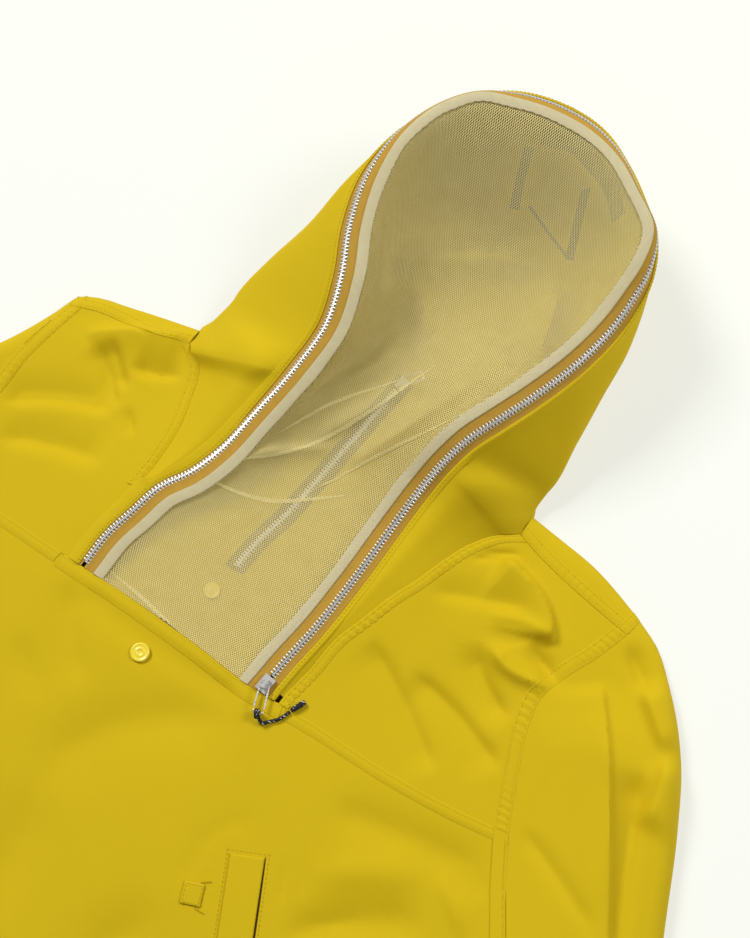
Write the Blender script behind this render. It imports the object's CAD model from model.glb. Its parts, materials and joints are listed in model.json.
"""Looks of the anorak pullover: fine cloth, seams and stitches, zip teeth, net and trims.

Lengths are millimetres, scaled to metres in each mesh. The outline, zip, hood and fold tables
are those of the solids, walked here in finer steps.
"""

import json
import math

import bpy
import numpy as np
from mathutils.bvhtree import BVHTree
from mathutils import Matrix, Vector

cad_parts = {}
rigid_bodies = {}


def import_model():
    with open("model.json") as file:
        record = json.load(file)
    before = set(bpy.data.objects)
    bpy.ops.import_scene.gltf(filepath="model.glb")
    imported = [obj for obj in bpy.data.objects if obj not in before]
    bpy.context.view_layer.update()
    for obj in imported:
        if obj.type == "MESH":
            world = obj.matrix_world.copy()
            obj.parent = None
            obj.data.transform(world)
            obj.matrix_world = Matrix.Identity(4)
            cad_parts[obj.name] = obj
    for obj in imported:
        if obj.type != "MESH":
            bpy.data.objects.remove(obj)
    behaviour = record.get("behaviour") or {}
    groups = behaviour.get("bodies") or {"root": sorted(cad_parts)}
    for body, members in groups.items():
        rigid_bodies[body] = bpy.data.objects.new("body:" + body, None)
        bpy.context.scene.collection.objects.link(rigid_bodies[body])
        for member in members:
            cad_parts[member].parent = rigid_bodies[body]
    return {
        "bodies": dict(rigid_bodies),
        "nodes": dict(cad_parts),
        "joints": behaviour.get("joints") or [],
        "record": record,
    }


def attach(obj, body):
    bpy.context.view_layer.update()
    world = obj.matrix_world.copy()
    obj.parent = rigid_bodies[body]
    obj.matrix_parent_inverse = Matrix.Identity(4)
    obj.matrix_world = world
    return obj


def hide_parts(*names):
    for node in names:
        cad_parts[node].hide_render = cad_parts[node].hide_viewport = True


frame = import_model()
for startup in ("Cube", "Light", "Camera"):
    if startup in bpy.data.objects:
        bpy.data.objects.remove(bpy.data.objects[startup], do_unlink=True)
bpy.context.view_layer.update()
MM = 0.001
RNG = np.random.default_rng(7)

# ---------------------------------------------------------------- driving sizes (mm)
CLOTH = 1.2  # wall of the cloth pieces
NET = 1.0  # wall of the net
TAPE = 0.7  # wall of a zip tape
GAP = 0.3  # between pieces at a seam
HEM_Y = -508.0
BODY_TOP = 13.0  # height of the upper layer over the body
TURN_Z = 4.0  # height of the outline, where the upper layer turns into the lower
TURN_TOP = 15.0  # how far in from the outline the upper layer reaches its height
TURN_LOW = 6.0  # how far in from the outline the lower layer reaches the table
SLEEVE_RISE = 6.0  # the sleeves hold more air than the body
CHAIN = (5.7, 2.4)  # width and height of the closed zip teeth
TAPE_OUT = 9.0  # outer zip tape, from the zip's centre to the cloth
TAPE_IN = 10.7  # inner zip tape, from the zip's centre to the net
CLOTH_PROUD = 1.0  # the cloth's face above the tape at its edge
BINDING = (10.0, 18.5)  # binding of the net's edge, from and to, from the zip's centre
INNER_TAPE = 8.0  # inner zip tape, from its centre to the cloth
INNER_CHAIN = (5.0, 2.0)
INNER_CHAIN_END = 0.94  # share of the inner zip where its slider begins

# ---------------------------------------------------------------- outline tables (x, y)
SHOULDER_EDGE_R = [(152, 231), (181, 227), (212, 222), (240, 213), (262, 204)]
SHOULDER_EDGE_L = [(-152, 222), (-185, 215), (-214, 208), (-238, 202), (-252, 194)]
SLEEVE_OUT_R = [
    (262, 204), (280, 195), (308, 169), (338, 130), (360, 85), (388, 13), (418, -60),
    (456, -170), (494, -280), (518, -350),
]
SLEEVE_OUT_L = [
    (-252, 194), (-259, 176), (-279, 134), (-316, 82), (-354, 25), (-394, -48),
    (-440, -150), (-484, -258), (-516, -342),
]
SLEEVE_IN_R = [(317, -105), (352, -166), (384, -246), (408, -316), (420, -378)]
SLEEVE_IN_L = [(-317, -105), (-352, -164), (-385, -244), (-410, -314), (-424, -372)]
SIDE_R = [(317, -105), (318, -200), (321, -340), (322, HEM_Y)]
SIDE_L = [(-317, -105), (-318, -200), (-320, -340), (-322, HEM_Y)]
# armholes, from the shoulder tip to the chest seam and from there to the underarm
ARM_TOP_R = [(262, 204), (258, 188)]
ARM_TOP_L = [(-252, 194), (-252, 183)]
ARM_YOKE_R = [(258, 188), (248, 162), (235, 136), (227, 113), (230, 88), (241, 55), (256, 16)]
ARM_YOKE_L = [(-252, 183), (-258, 156), (-264, 126), (-265, 92), (-265, 54), (-268, 14)]
ARM_LOW_R = [(256, 16), (276, -22), (299, -62), (317, -105)]
ARM_LOW_L = [(-268, 14), (-283, -28), (-302, -66), (-317, -105)]
SHOULDER_SEAM_R = [(151, 212), (170, 206), (193, 200), (223, 194), (258, 188)]
SHOULDER_SEAM_L = [(-151, 206), (-175, 198), (-200, 194), (-225, 191), (-252, 183)]
CHEST_SEAM = [
    (-268, 14), (-199, 15), (-129, 13.5), (-84, 13), (-8, 9), (30, 5.5), (64, 6),
    (87, 7), (162, 7), (210, 10), (256, 16),
]

# ---------------------------------------------------------------- zip round the opening
# centre of the teeth from the left end to the slider: x, y, z, and how far the strip leans
# outward from lying flat (degrees)
ZIP = [
    (-119, 17, 14, 0), (-117, 43, 16, 0), (-110, 70, 18, 0), (-103, 95, 20, 4),
    (-88, 119, 22, 8), (-78, 144, 26, 14), (-70, 180, 34, 20), (-60, 225, 49, 24),
    (-56, 262, 62, 24), (-64, 297, 74, 26), (-80, 335, 81, 30), (-89, 374, 87, 42),
    (-87, 413, 91, 66), (-72, 452, 92, 80), (-51, 477, 93, 74), (-24, 491, 94, 52),
    (8, 498, 95, 46), (44, 497, 94, 50), (72, 486, 93, 66), (96, 468, 92, 82),
    (122, 447, 91, 82), (132, 418, 89, 60), (133, 393, 85, 42), (131, 367, 80, 32),
    (124, 336, 76, 26), (106, 291, 67, 22), (94, 267, 62, 22), (81, 242, 53, 22),
    (74, 221, 42, 20), (69, 197, 29, 16), (66, 170, 22, 8), (62, 115, 18, 2),
    (56, 62, 16, 0), (51, 35, 15, 0), (48, 14, 14, 0),
]
ZIP_LEFT = 400.0  # mm along the zip where its left run ends and the crown begins
ZIP_CROWN = 290.0  # mm of zip over the crown, the same number of steps as across the net
CROWN_MIDDLE = 7 / 12  # the hood's centre line, as a share of the crown

# neck seams: mm along the zip from that side's lower end, x, y
NECK_L = [
    (-6, -128.8, 14), (24, -127.4, 43), (52, -121.4, 70), (80, -118, 95.6), (107, -116.5, 114),
    (134, -118, 144), (161, -124, 168), (189, -132, 192), (222, -151, 206),
]
NECK_R = [
    (0, 64, 12), (27, 70, 40), (55, 74, 68), (82, 83, 92), (108, 92, 117), (136, 102.5, 139),
    (163, 112, 164), (190, 123, 186), (206, 134, 200), (224, 151, 212),
]
HOOD_START_L = 80.0
# the hood past the neck seam: mm along the zip, widest point, point where the cloth reaches
# the table, end of the strip (back neck seam, then the centre line)
BAG_L = [
    (238, -130, 238, 24, -149, 228, 9, -151.5, 220, 3),
    (262, -139, 258, 20, -128, 236, 1, -118, 214.3, 0),
    (300, -132, 292, 30, -112, 270, 0, -60, 209.3, 0),
    (340, -116, 330, 46, -96, 310, 0, -9, 207.3, 0),
    (375, -107, 360, 58, -88, 344, 0, 0, 245, 0),
    (410, -97, 390, 64, -80, 374, 0, 3, 292, 0),
    (440, -92, 422, 62, -72, 402, 0, 7, 338, 0),
    (480, -77, 460, 60, -57, 432, 0, 10, 382, 0),
    (512, -53, 486, 60, -39, 455, 0, 12, 408, 0),
    (542, -18, 502, 60, -14, 470, 0, 13, 426, 0),
    (569.2, 16, 509, 60, 14, 478, 0, 14, 440, 0),
]
BAG_R = [
    (242, 140, 243, 20, 151, 234, 9, 152, 228, 3),
    (264, 152, 258, 18, 141, 238, 1, 118, 215.3, 0),
    (298, 152, 294, 28, 128, 276, 0, 62, 209.3, 0),
    (342, 150, 334, 35, 124, 314, 0, 11, 207.3, 0),
    (374, 148, 368, 44, 119, 344, 0, 2, 245, 0),
    (401, 141, 397, 52, 112, 370, 0, 5, 290, 0),
    (428, 132, 420, 58, 104, 396, 0, 8, 330, 0),
    (456, 122, 449, 60, 94, 420, 0, 10, 364, 0),
    (488, 101, 474, 60, 80, 444, 0, 12, 392, 0),
    (519, 75, 493, 60, 60, 462, 0, 13, 412, 0),
    (549, 46, 505, 60, 36, 472, 0, 13.5, 428, 0),
    (577.6, 16, 509, 60, 14, 478, 0, 14, 440, 0),
]

# ---------------------------------------------------------------- folds
# name, start x y, middle x y, end x y, height of the ridge (under 0 for a trough), and how far
# it spreads to the left and to the right of its direction
FOLDS = [
    ("zip_swell_left", -129, 10, -116, 100, -126, 200, 4.5, 32, 32),
    ("zip_swell_right", 60, 20, 84, 110, 132, 205, 4.0, 30, 30),
    ("yoke_left_lip", -226, 166, -206, 190, -150, 211, 8.0, 5, 20),
    ("yoke_left_pocket", -182, 167, -160, 168, -139, 183, -6.0, 12, 4),
    ("yoke_left_crease_a", -207, 178, -188, 163, -170, 145, -5.0, 4, 12),
    ("yoke_left_crease_b", -214, 170, -190, 152, -168, 130, -3.5, 4, 12),
    ("yoke_left_crease_c", -164, 139, -154, 128, -143, 117, -3.0, 3, 6),
    ("yoke_left_fall", -252, 88, -218, 120, -169, 129, -6.5, 18, 5),
    ("yoke_left_low", -238, 62, -200, 84, -150, 90, -5.5, 18, 6),
    ("yoke_left_dent", -247, 174, -238, 181, -226, 189, -3.0, 8, 8),
    ("yoke_right_crest", 146, 190, 205, 185, 213, 147, 9.0, 2.8, 22),
    ("yoke_right_wedge", 112, 137, 150, 154, 190, 168, -4.0, 12, 6),
    ("yoke_right_ledge", 158, 144, 185, 160, 213, 155, 3.5, 4, 12),
    ("yoke_right_knee", 174, 134, 182, 108, 232, 124, 7.0, 12, 5),
    ("yoke_right_pit", 196, 142, 216, 138, 236, 126, -6.5, 6, 8),
    ("yoke_right_under", 168, 127, 173, 98, 219, 86, -6.5, 6, 16),
    ("yoke_right_fall", 132, 76, 170, 80, 230, 50, -5.0, 6, 16),
    ("yoke_right_streak", 93, 82, 136, 66, 190, 22, -4.0, 6, 14),
    ("yoke_right_wrinkle_a", 131, 183, 146, 193, 162, 199, -2.6, 2.5, 3),
    ("yoke_right_wrinkle_b", 126, 174, 142, 186, 156, 191, -1.8, 2.5, 3),
    ("sleeve_right_edge", 258, 147, 303, 83, 384, -74, 11.0, 20, 40),
    ("sleeve_right_lip", 258, 147, 303, 83, 384, -74, 6.0, 3, 26),
    ("sleeve_right_shade", 316, 108, 332, 50, 366, -28, -8.0, 7, 20),
    ("sleeve_right_cap", 282, 164, 306, 143, 328, 124, 7.0, 18, 5),
    ("sleeve_right_outer", 324, 128, 336, 100, 333, 66, 8.0, 20, 5),
    ("sleeve_right_crease", 260, 184, 280, 169, 299, 153, -5.5, 10, 6),
    ("sleeve_right_streak", 260, 25, 300, 10, 344, -13, -2.5, 6, 6),
    ("sleeve_right_long", 372, -60, 420, -170, 470, -300, 5.0, 18, 18),
    ("sleeve_right_hollow", 340, -120, 390, -220, 436, -330, -4.0, 14, 14),
    ("sleeve_left_band", -292, 120, -340, 30, -410, -110, 5.0, 16, 16),
    ("sleeve_left_hollow", -310, -20, -368, -150, -430, -290, -4.5, 14, 14),
    ("sleeve_left_long", -360, -60, -420, -190, -470, -310, 4.0, 14, 14),
    ("front_edge", -114, 0, -58, -11, 42, -5, -2.5, 6, 7),
    ("front_corner", -122, 5, -102, -36, -64, -63, -3.5, 7, 13),
    ("front_hollow", -52, -152, -62, -56, 58, -20, -5.0, 20, 26),
    ("front_hollow_low", -54, -112, -48, -170, -28, -250, -4.0, 26, 24),
    ("front_left_wrinkle", -134, -48, -112, -80, -78, -82, -2.5, 10, 10),
    ("front_right_hollow", 128, -40, 190, -22, 269, -17, -4.5, 12, 14),
    ("front_right_ridge", 146, -92, 178, -55, 230, -40, 3.5, 12, 12),
    ("front_right_low", 150, -138, 192, -84, 248, -68, -5.0, 12, 13),
    ("front_right_rib", 224, -34, 246, -46, 268, -64, 3.0, 7, 5),
    ("front_right_crease", 230, -38, 250, -31, 270, -21, -1.8, 4, 4),
    ("pocket_arc", 77, -144, 58, -88, 100, -72, -1.4, 4, 5),
    ("pocket_fold_a", 127, -84, 134, -97, 146, -116, -1.1, 3, 3),
    ("pocket_fold_b", 137, -73, 144, -86, 155, -106, -1.0, 3, 3),
    ("front_low_hollow", 68, -154, 62, -186, 38, -246, -4.5, 16, 18),
    ("front_low_a", 110, -190, 96, -330, 130, -470, 3.5, 26, 20),
    ("front_low_b", -150, -150, -196, -320, -150, -480, 4.0, 26, 22),
    ("front_low_c", 230, -130, 250, -300, 210, -470, 3.5, 22, 26),
    ("front_low_d", -10, -270, -30, -380, 10, -490, -3.0, 22, 22),
    ("front_underarm_left", -308, -120, -250, -150, -190, -240, -4.0, 14, 18),
    ("front_underarm_right", 308, -120, 262, -160, 226, -240, -4.0, 18, 14),
]
# folds of the hood's cloth where it lies under the net, lifted off the table
HOOD_FOLDS = [
    ("across", -52, 345, -2, 392, 52, 414, 18, 13, 13),
    ("right", 72, 420, 84, 368, 92, 330, 14, 12, 12),
    ("middle", -30, 350, 2, 326, 8, 300, 9, 10, 10),
]
INNER_FOLDS = [
    ("across_zip", -54, 204, -24, 158, -8, 120, 3.5, 7, 6),
    ("left_soft", -96, 120, -70, 170, -60, 230, 2.0, 16, 16),
    ("right_soft", 50, 110, 62, 170, 84, 226, 2.0, 16, 16),
]
HOOD_CREASES = [  # sharper, low creases of the hood's inside
    ("left", -68, 372, -56, 346, -44, 315, 3.0, 5, 5),
    ("across_a", -52, 345, -34, 388, 4, 393, 4.5, 4, 9),
    ("across_b", 4, 393, 34, 396, 57, 430, 4.5, 4, 9),
    ("middle", -30, 354, -8, 338, 3, 308, 3.5, 4, 8),
    ("right", 70, 410, 82, 380, 97, 336, 4.0, 4, 8),
]
NET_FOLDS = [
    ("a", -58, 176, -30, 232, 6, 292, 4.0, 8, 8),
    ("b", -76, 134, -44, 166, -4, 193, 3.5, 4, 7),
    ("c", -24, 186, 6, 236, 34, 284, 3.5, 7, 7),
    ("d", 8, 180, 44, 246, 78, 316, 5.0, 8, 8),
    ("e", -94, 29, -30, 25, 22, 26, 1.6, 4, 4),
    ("hood", -44, 250, -42, 300, -24, 342, 5.0, 9, 9),
]

# ---------------------------------------------------------------- inner front
INNER_ZIP = [
    (-21, 76), (-17, 104), (-10, 131), (-6, 158), (-2, 186), (2, 214), (6, 242), (11, 272),
]
INNER_SEAM_Y = 73.0
INNER_LEFT = [(-106, -14), (-108, 73), (-104, 140), (-112, 190), (-104, 226), (-70, 258)]
INNER_RIGHT = [(40, -14), (44, 73), (56, 140), (66, 190), (84, 226), (76, 256)]
INNER_TOP_Y = 276.0
INNER_Z = 8.2

# ---------------------------------------------------------------- small pieces
FRONT_SNAP = (-45, -17, 7.4, 2.6)  # x, y, radius, height
INNER_SNAP = (-26, 51, 6.4, 2.2)
WELT = (104, -97, 25.0, 165.0, -24.5)  # top centre x y, width, length, lean (degrees)
LOOP_TAB = (85, -140, 15.0, 16.0, -20.0)  # centre x y, width, length, lean
PULL_TURN = math.radians(18.4)  # the pull lies this far round from the zip's line
PULL = (8.0, 23.0, 1.5)  # width, length and wire diameter of the pull's loop
PULL_DOWN = math.radians(1.0)  # its slope down to the cloth
PIVOT_Z = 4.7  # hinge of the pull over the middle of the teeth
INNER_PULL = (7.0, 18.0, 1.4)
INNER_PULL_TURN = math.radians(146)
INNER_PIVOT_Z = 3.4
CORD_D = 2.7
CORD = [  # from the knot to the end sleeve: x, y, height over the cloth
    (61.5, -12.4, 3.4), (65.6, -8.4, 1.9), (69.8, -4.2, 1.9),
    (72.6, 0.8, 1.9), (74.4, 5.4, 2.1),
]
CORD_END = [(74.6, 6.4, 2.4), (77.6, 12.2, 2.4), (80.0, 17.6, 2.4)]
CORD_END_D = 4.2

# ---------------------------------------------------------------- steps of the meshes
ROUND_STEPS = {"side": 168, "crown": 96}  # along the zip's sides and over its crown
HOOD_STEPS = 56
YOKE_STEPS = 84
OPENING_STEPS = 36
SLEEVE_STEPS = 110
BODY_STEPS = 110
TURN_POINTS = (0.0, 0.4, 1.2, 2.6, 4.6, 7.4, 11.0, 15.0)  # mm in from the outline, at a turned edge
WRAP = (0.0, 0.02, 0.06, 0.12, 0.22, 0.36, 0.55, 0.78, 1.0)  # round the shoulder's fold
FOLD_CREST = 1.5  # 2 for a round crest, 1 for a creased one
FINE_WALL = 0.7
TAPE_LIFT = 0.6
NET_PITCH = 1.52  # between the net's slanting rows of holes
NET_HOLE = 0.13  # threads are where two waves crossing each other are under this


# ---------------------------------------------------------------- curves
def smooth(rows, keys, at):
    """Rows of numbers joined by a smooth curve over their keys, read at other keys."""
    rows, keys, at = np.asarray(rows, float), np.asarray(keys, float), np.asarray(at, float)
    slope = np.gradient(rows, keys, axis=0, edge_order=1)
    i = np.clip(np.searchsorted(keys, at, side="right") - 1, 0, len(keys) - 2)
    h = (keys[i + 1] - keys[i])[:, None]
    t = ((at - keys[i]) / h[:, 0])[:, None]
    return (
        rows[i] * (2 * t**3 - 3 * t**2 + 1)
        + slope[i] * h * (t**3 - 2 * t**2 + t)
        + rows[i + 1] * (3 * t**2 - 2 * t**3)
        + slope[i + 1] * h * (t**3 - t**2)
    )


def length_keys(points):
    steps = np.linalg.norm(np.diff(np.asarray(points, float), axis=0), axis=1)
    return np.concatenate([[0.0], np.cumsum(steps)])


def along(points, fractions):
    """Points at these fractions of a smooth curve's length."""
    keys = length_keys(points)
    fine = smooth(points, keys, np.linspace(0, keys[-1], 40 * len(points)))
    run = length_keys(fine)
    at = np.asarray(fractions) * run[-1]
    return np.stack([np.interp(at, run, fine[:, k]) for k in range(fine.shape[1])], axis=1)


def even(steps):
    return np.linspace(0.0, 1.0, steps + 1)


def turned(length, steps, start=True, end=True):
    """Fractions across a piece, close together at an edge where the cloth turns under."""
    first = [d for d in TURN_POINTS] if start else [0.0]
    last = [length - d for d in reversed(TURN_POINTS)] if end else [length]
    middle = np.linspace(first[-1], last[0], steps + 1)[1:-1]
    return np.array(first + list(middle) + last) / length


def moved(points, side):
    """A plan curve moved sideways, to the left of its direction by side."""
    points = np.asarray(points, float)
    step = np.gradient(points, axis=0)
    step /= np.linalg.norm(step, axis=1, keepdims=True)
    return points + side * np.stack([-step[:, 1], step[:, 0]], axis=1)


def coons(bottom, top, left, right, across=None, up=None):
    """Patch between four curves: bottom and top run across, left and right run up."""
    across = even(len(bottom) - 1) if across is None else np.asarray(across)
    up = even(len(left) - 1) if up is None else np.asarray(up)
    u, v = across[None, :, None], up[:, None, None]
    flat = (
        (1 - u) * (1 - v) * bottom[0] + u * (1 - v) * bottom[-1]
        + (1 - u) * v * top[0] + u * v * top[-1]
    )
    return (1 - v) * bottom[None] + v * top[None] + (1 - u) * left[:, None] + u * right[:, None] - flat


def nearest(x, y, line):
    """Distance to a polyline, the unit direction away from it, and its signed side."""
    p = np.stack([np.ravel(x), np.ravel(y)], axis=1).astype(float)
    a, b = line[:-1], line[1:]
    d = b - a
    t = ((p[:, None] - a) * d).sum(2) / (d * d).sum(1)
    t = np.clip(t, 0, 1)
    off = p[:, None] - (a + t[..., None] * d)
    dist = np.hypot(off[..., 0], off[..., 1])
    k = dist.argmin(1)
    i = np.arange(len(p))
    side = np.stack([-d[k, 1], d[k, 0]], axis=1) / np.hypot(d[k, 0], d[k, 1])[:, None]
    run = length_keys(line)
    where = (run[k] + t[i, k] * np.hypot(d[k, 0], d[k, 1])) / run[-1]
    signed = (off[i, k] * side).sum(1)
    return dist[i, k], off[i, k], side, signed, where


def ease(t):
    """Smooth rise from 0 to 1."""
    t = np.clip(t, 0, 1)
    return t * t * (3 - 2 * t)


def fold_heights(x, y, folds):
    """Sum of the folds' ridges and troughs at these plan points."""
    total = np.zeros(np.size(x))
    for _, x0, y0, xm, ym, x1, y1, lift, left, right in folds:
        t = np.linspace(0, 1, 13)[:, None]
        line = (
            (1 - t) ** 2 * np.array([x0, y0]) + 2 * t * (1 - t) * np.array([xm, ym])
            + t**2 * np.array([x1, y1])
        )
        dist, _, _, signed, where = nearest(x, y, line)
        ramp = (2.5 * min(left, right) + 6) / length_keys(line)[-1]
        fade = ease(where / ramp) * ease((1 - where) / ramp)
        total += fade * lift * np.exp(-((dist / np.where(signed > 0, left, right)) ** FOLD_CREST))
    return total.reshape(np.shape(x))


def body_height(x, y):
    """Height of the upper layer of cloth, away from the outline."""
    rise = np.clip((np.abs(x) - 262) / 70, 0, 1)
    rise = rise * rise * (3 - 2 * rise) * np.clip((150 - y) / 90 + 0.5, 0.5, 1)
    z = BODY_TOP + SLEEVE_RISE * rise + fold_heights(x, y, FOLDS)
    shoulder = np.clip((y - 160) / 60, 0, 1) * np.clip((np.abs(x) - 150) / 20, 0, 1)
    return np.maximum(z - 2.5 * shoulder, 7.5)


def outline_parts():
    """The lines where the upper layer turns into the lower, inside on their left."""
    out = []
    for points, flip in (
        (SHOULDER_EDGE_R + SLEEVE_OUT_R[1:], True), (SHOULDER_EDGE_L + SLEEVE_OUT_L[1:], False),
        (SLEEVE_IN_R, False), (SLEEVE_IN_L, True), (SIDE_R, True), (SIDE_L, False),
    ):
        line = along(points, even(6 * (len(points) - 1)))
        out.append(line[::-1] if not flip else line)
    return out


OUTLINE = None


def from_outline(x, y):
    """Distance in from the outline and the plan direction that points inward."""
    global OUTLINE
    if OUTLINE is None:
        OUTLINE = outline_parts()
    best, way = None, None
    for line in OUTLINE:
        dist, off, side, _, _ = nearest(x, y, line)
        inward = np.where((dist > 0.4)[:, None], off / np.maximum(dist, 0.4)[:, None], -side)
        if best is None:
            best, way = dist, inward
        else:
            nearer = dist < best
            best = np.where(nearer, dist, best)
            way = np.where(nearer[:, None], inward, way)
    return best.reshape(np.shape(x)), way.reshape(np.shape(x) + (2,))


def turn(distance, reach):
    """Rise of a turned edge, 0 at the outline and 1 where the cloth lies level."""
    t = 1 - np.clip(distance / reach, 0, 1)
    return np.sqrt(1 - t * t), t

# ---------------------------------------------------------------- surfaces
def upper(plan):
    """Points and outward directions of the upper layer over plan points."""
    x, y = plan[..., 0], plan[..., 1]
    distance, inward = from_outline(x, y)
    rise, lean = turn(distance, TURN_TOP)
    height = body_height(x, y) + soft(x, y) * rise
    z = TURN_Z + (height - TURN_Z) * rise
    grid = np.concatenate([plan, z[..., None]], axis=-1)
    if plan.ndim == 2:
        out = np.zeros_like(grid)
        out[:, 2] = rise
        out[:, :2] = -lean[:, None] * inward
    else:
        out = normals_of(grid)
        out *= np.sign((out[..., 2:] * rise[..., None]).sum())
        edge = (lean > 0.55)[..., None]
        turned_out = np.concatenate([-lean[..., None] * inward, rise[..., None]], axis=-1)
        out = np.where(edge, turned_out, out)
    out /= np.maximum(np.linalg.norm(out, axis=-1, keepdims=True), 1e-9)
    return grid, out


def lower(plan):
    """Points and outward directions of the lower layer, which faces the table."""
    x, y = plan[..., 0], plan[..., 1]
    distance, inward = from_outline(x, y)
    rise, lean = turn(distance, TURN_LOW)
    out = np.zeros(plan.shape[:-1] + (3,))
    out[..., 2] = -rise
    out[..., :2] = -lean[..., None] * inward
    out /= np.linalg.norm(out, axis=-1, keepdims=True)
    z = TURN_Z * (1 - rise)
    return np.concatenate([plan, z[..., None]], axis=-1), out


def soft(x, y):
    """Slow unevenness of cloth that lies by itself, about a millimetre."""
    a = np.sin(x / 61 + 1.3 * np.sin(y / 83)) * np.sin(y / 71 + 0.9 * np.sin(x / 97))
    b = np.sin((x + 1.7 * y) / 47 + 2.0) * np.sin((1.3 * x - y) / 59 + 0.5)
    return 0.55 * a + 0.35 * b


def normals_of(grid):
    out = np.cross(np.gradient(grid, axis=0), np.gradient(grid, axis=1))
    return out / np.maximum(np.linalg.norm(out, axis=-1, keepdims=True), 1e-9)


# ---------------------------------------------------------------- meshes
def make_object(name, points, faces, mat, uv=None, body="garment"):
    """A mesh object from points in mm, smooth but for its hard edges, riding on a body."""
    mesh = bpy.data.meshes.new(name)
    points = np.maximum(points, (-np.inf, -np.inf, 0.0))  # nothing goes below the table
    mesh.from_pydata((points * MM).tolist(), [], [list(f) for f in faces])
    mesh.materials.append(mat)
    if uv is not None:
        layer = mesh.uv_layers.new(name="UVMap")
        index = np.empty(len(mesh.loops), int)
        mesh.loops.foreach_get("vertex_index", index)
        layer.data.foreach_set("uv", (np.asarray(uv)[index] * MM).ravel())
    mesh.shade_smooth()
    mesh.set_sharp_from_angle(angle=math.radians(50))
    obj = bpy.data.objects.new(name, mesh)
    bpy.context.scene.collection.objects.link(obj)
    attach(obj, body)
    return obj


def cell_sizes(grid):
    return (
        np.linalg.norm(np.diff(grid, axis=0), axis=-1),
        np.linalg.norm(np.diff(grid, axis=1), axis=-1),
    )


def flat_uv(grid):
    """Plan of the cloth before it was laid: lengths run along the grid's lines."""
    down, across = cell_sizes(grid)
    u, v = np.zeros(grid.shape[:2]), np.zeros(grid.shape[:2])
    u[:, 1:] = np.cumsum(across, axis=1)
    v[1:] = np.cumsum(down, axis=0)
    u -= u[:, -1:] / 2
    return np.stack([u, v], axis=-1)


def cut_of(grid, keep=None, wrap=False):
    """Flat width, length and area of a panel, in metres; all round, on a tube."""
    if wrap:
        grid = np.concatenate([grid, grid[:, :1]], axis=1)
    down, across = cell_sizes(grid)
    sides = np.cross(grid[1:, :-1] - grid[:-1, :-1], grid[:-1, 1:] - grid[:-1, :-1])
    far = np.cross(grid[:-1, 1:] - grid[1:, 1:], grid[1:, :-1] - grid[1:, 1:])
    cells = (np.linalg.norm(sides, axis=-1) + np.linalg.norm(far, axis=-1)) / 2
    area = cells.sum() if keep is None else cells[keep].sum()
    return across.sum(1).max() * MM, down.sum(0).max() * MM, area * MM * MM


def panel(name, grid, out, wall, mat, keep=None, wrap=False, inner=None, facing=None):
    """A closed wall of cloth whose face is grid, going in by wall against out."""
    rows, cols = grid.shape[:2]
    back = grid - wall * out if inner is None else inner
    span = cols if wrap else cols - 1
    keep = np.ones((rows - 1, span), bool) if keep is None else keep
    i, j = np.nonzero(keep)
    k = (j + 1) % cols
    quads = np.stack([i * cols + j, (i + 1) * cols + j, (i + 1) * cols + k, i * cols + k], axis=1)
    across = np.roll(grid, -1, axis=1)[:-1, :span] - grid[:-1, :span]
    turn_way = (np.cross(grid[1:, :span] - grid[:-1, :span], across) * out[:-1, :span]).sum()
    if turn_way < 0:
        quads = quads[:, ::-1]
    count = rows * cols
    ends = np.concatenate([quads[:, [0, 1]], quads[:, [1, 2]], quads[:, [2, 3]], quads[:, [3, 0]]])
    seen = {(a, b) for a, b in ends.tolist()}
    rim = [(a, b) for a, b in seen if (b, a) not in seen]
    faces = quads.tolist() + (quads[:, ::-1] + count).tolist()
    faces += [(b, a, count + a, count + b) for a, b in sorted(rim)]
    used = np.unique(np.concatenate([np.ravel(f) for f in faces]))
    place = np.zeros(2 * count, int)
    place[used] = np.arange(len(used))
    faces = [place[list(f)] for f in faces]
    points = np.concatenate([grid.reshape(-1, 3), back.reshape(-1, 3)])[used]
    uv = np.concatenate([flat_uv(grid).reshape(-1, 2)] * 2)[used]
    return make_object(name, points, faces, mat, uv)


def lay(grid, node, keep=None, wrap=False, flat=None):
    """The piece stands for its node and is declared as a sheet with its flat cut."""
    stands_for(node)
    width, length, area = cut_of(grid, keep, wrap)
    width, length = flat or (width, length)


def stands_for(node):
    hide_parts(node)


# ---------------------------------------------------------------- the zip's frame
def zip_stations():
    """Lengths along the zip of every cross section that its neighbours share."""
    total = length_keys(np.array(ZIP)[:, :3])[-1]
    side, crown = ROUND_STEPS["side"], ROUND_STEPS["crown"]
    right = ZIP_LEFT + ZIP_CROWN
    return np.concatenate([
        np.linspace(0, ZIP_LEFT, side + 1), np.linspace(ZIP_LEFT, right, crown + 1)[1:],
        np.linspace(right, total, side + 1)[1:],
    ])


def middle_station():
    return ZIP_LEFT + ZIP_CROWN * CROWN_MIDDLE


def zip_frame(at):
    """Centre, outward plan direction and lean of the zip at lengths along it."""
    rows = np.array(ZIP, float)
    keys = length_keys(rows[:, :3])
    now = smooth(rows, keys, at)
    step = smooth(rows, keys, np.clip(at + 2, 0, keys[-1])) - smooth(rows, keys, np.clip(at - 2, 0, keys[-1]))
    step = step[:, :2] / np.linalg.norm(step[:, :2], axis=1, keepdims=True)
    outward = np.stack([-step[:, 1], step[:, 0]], axis=1)
    return now[:, :3], outward, np.radians(now[:, 3])


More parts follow.
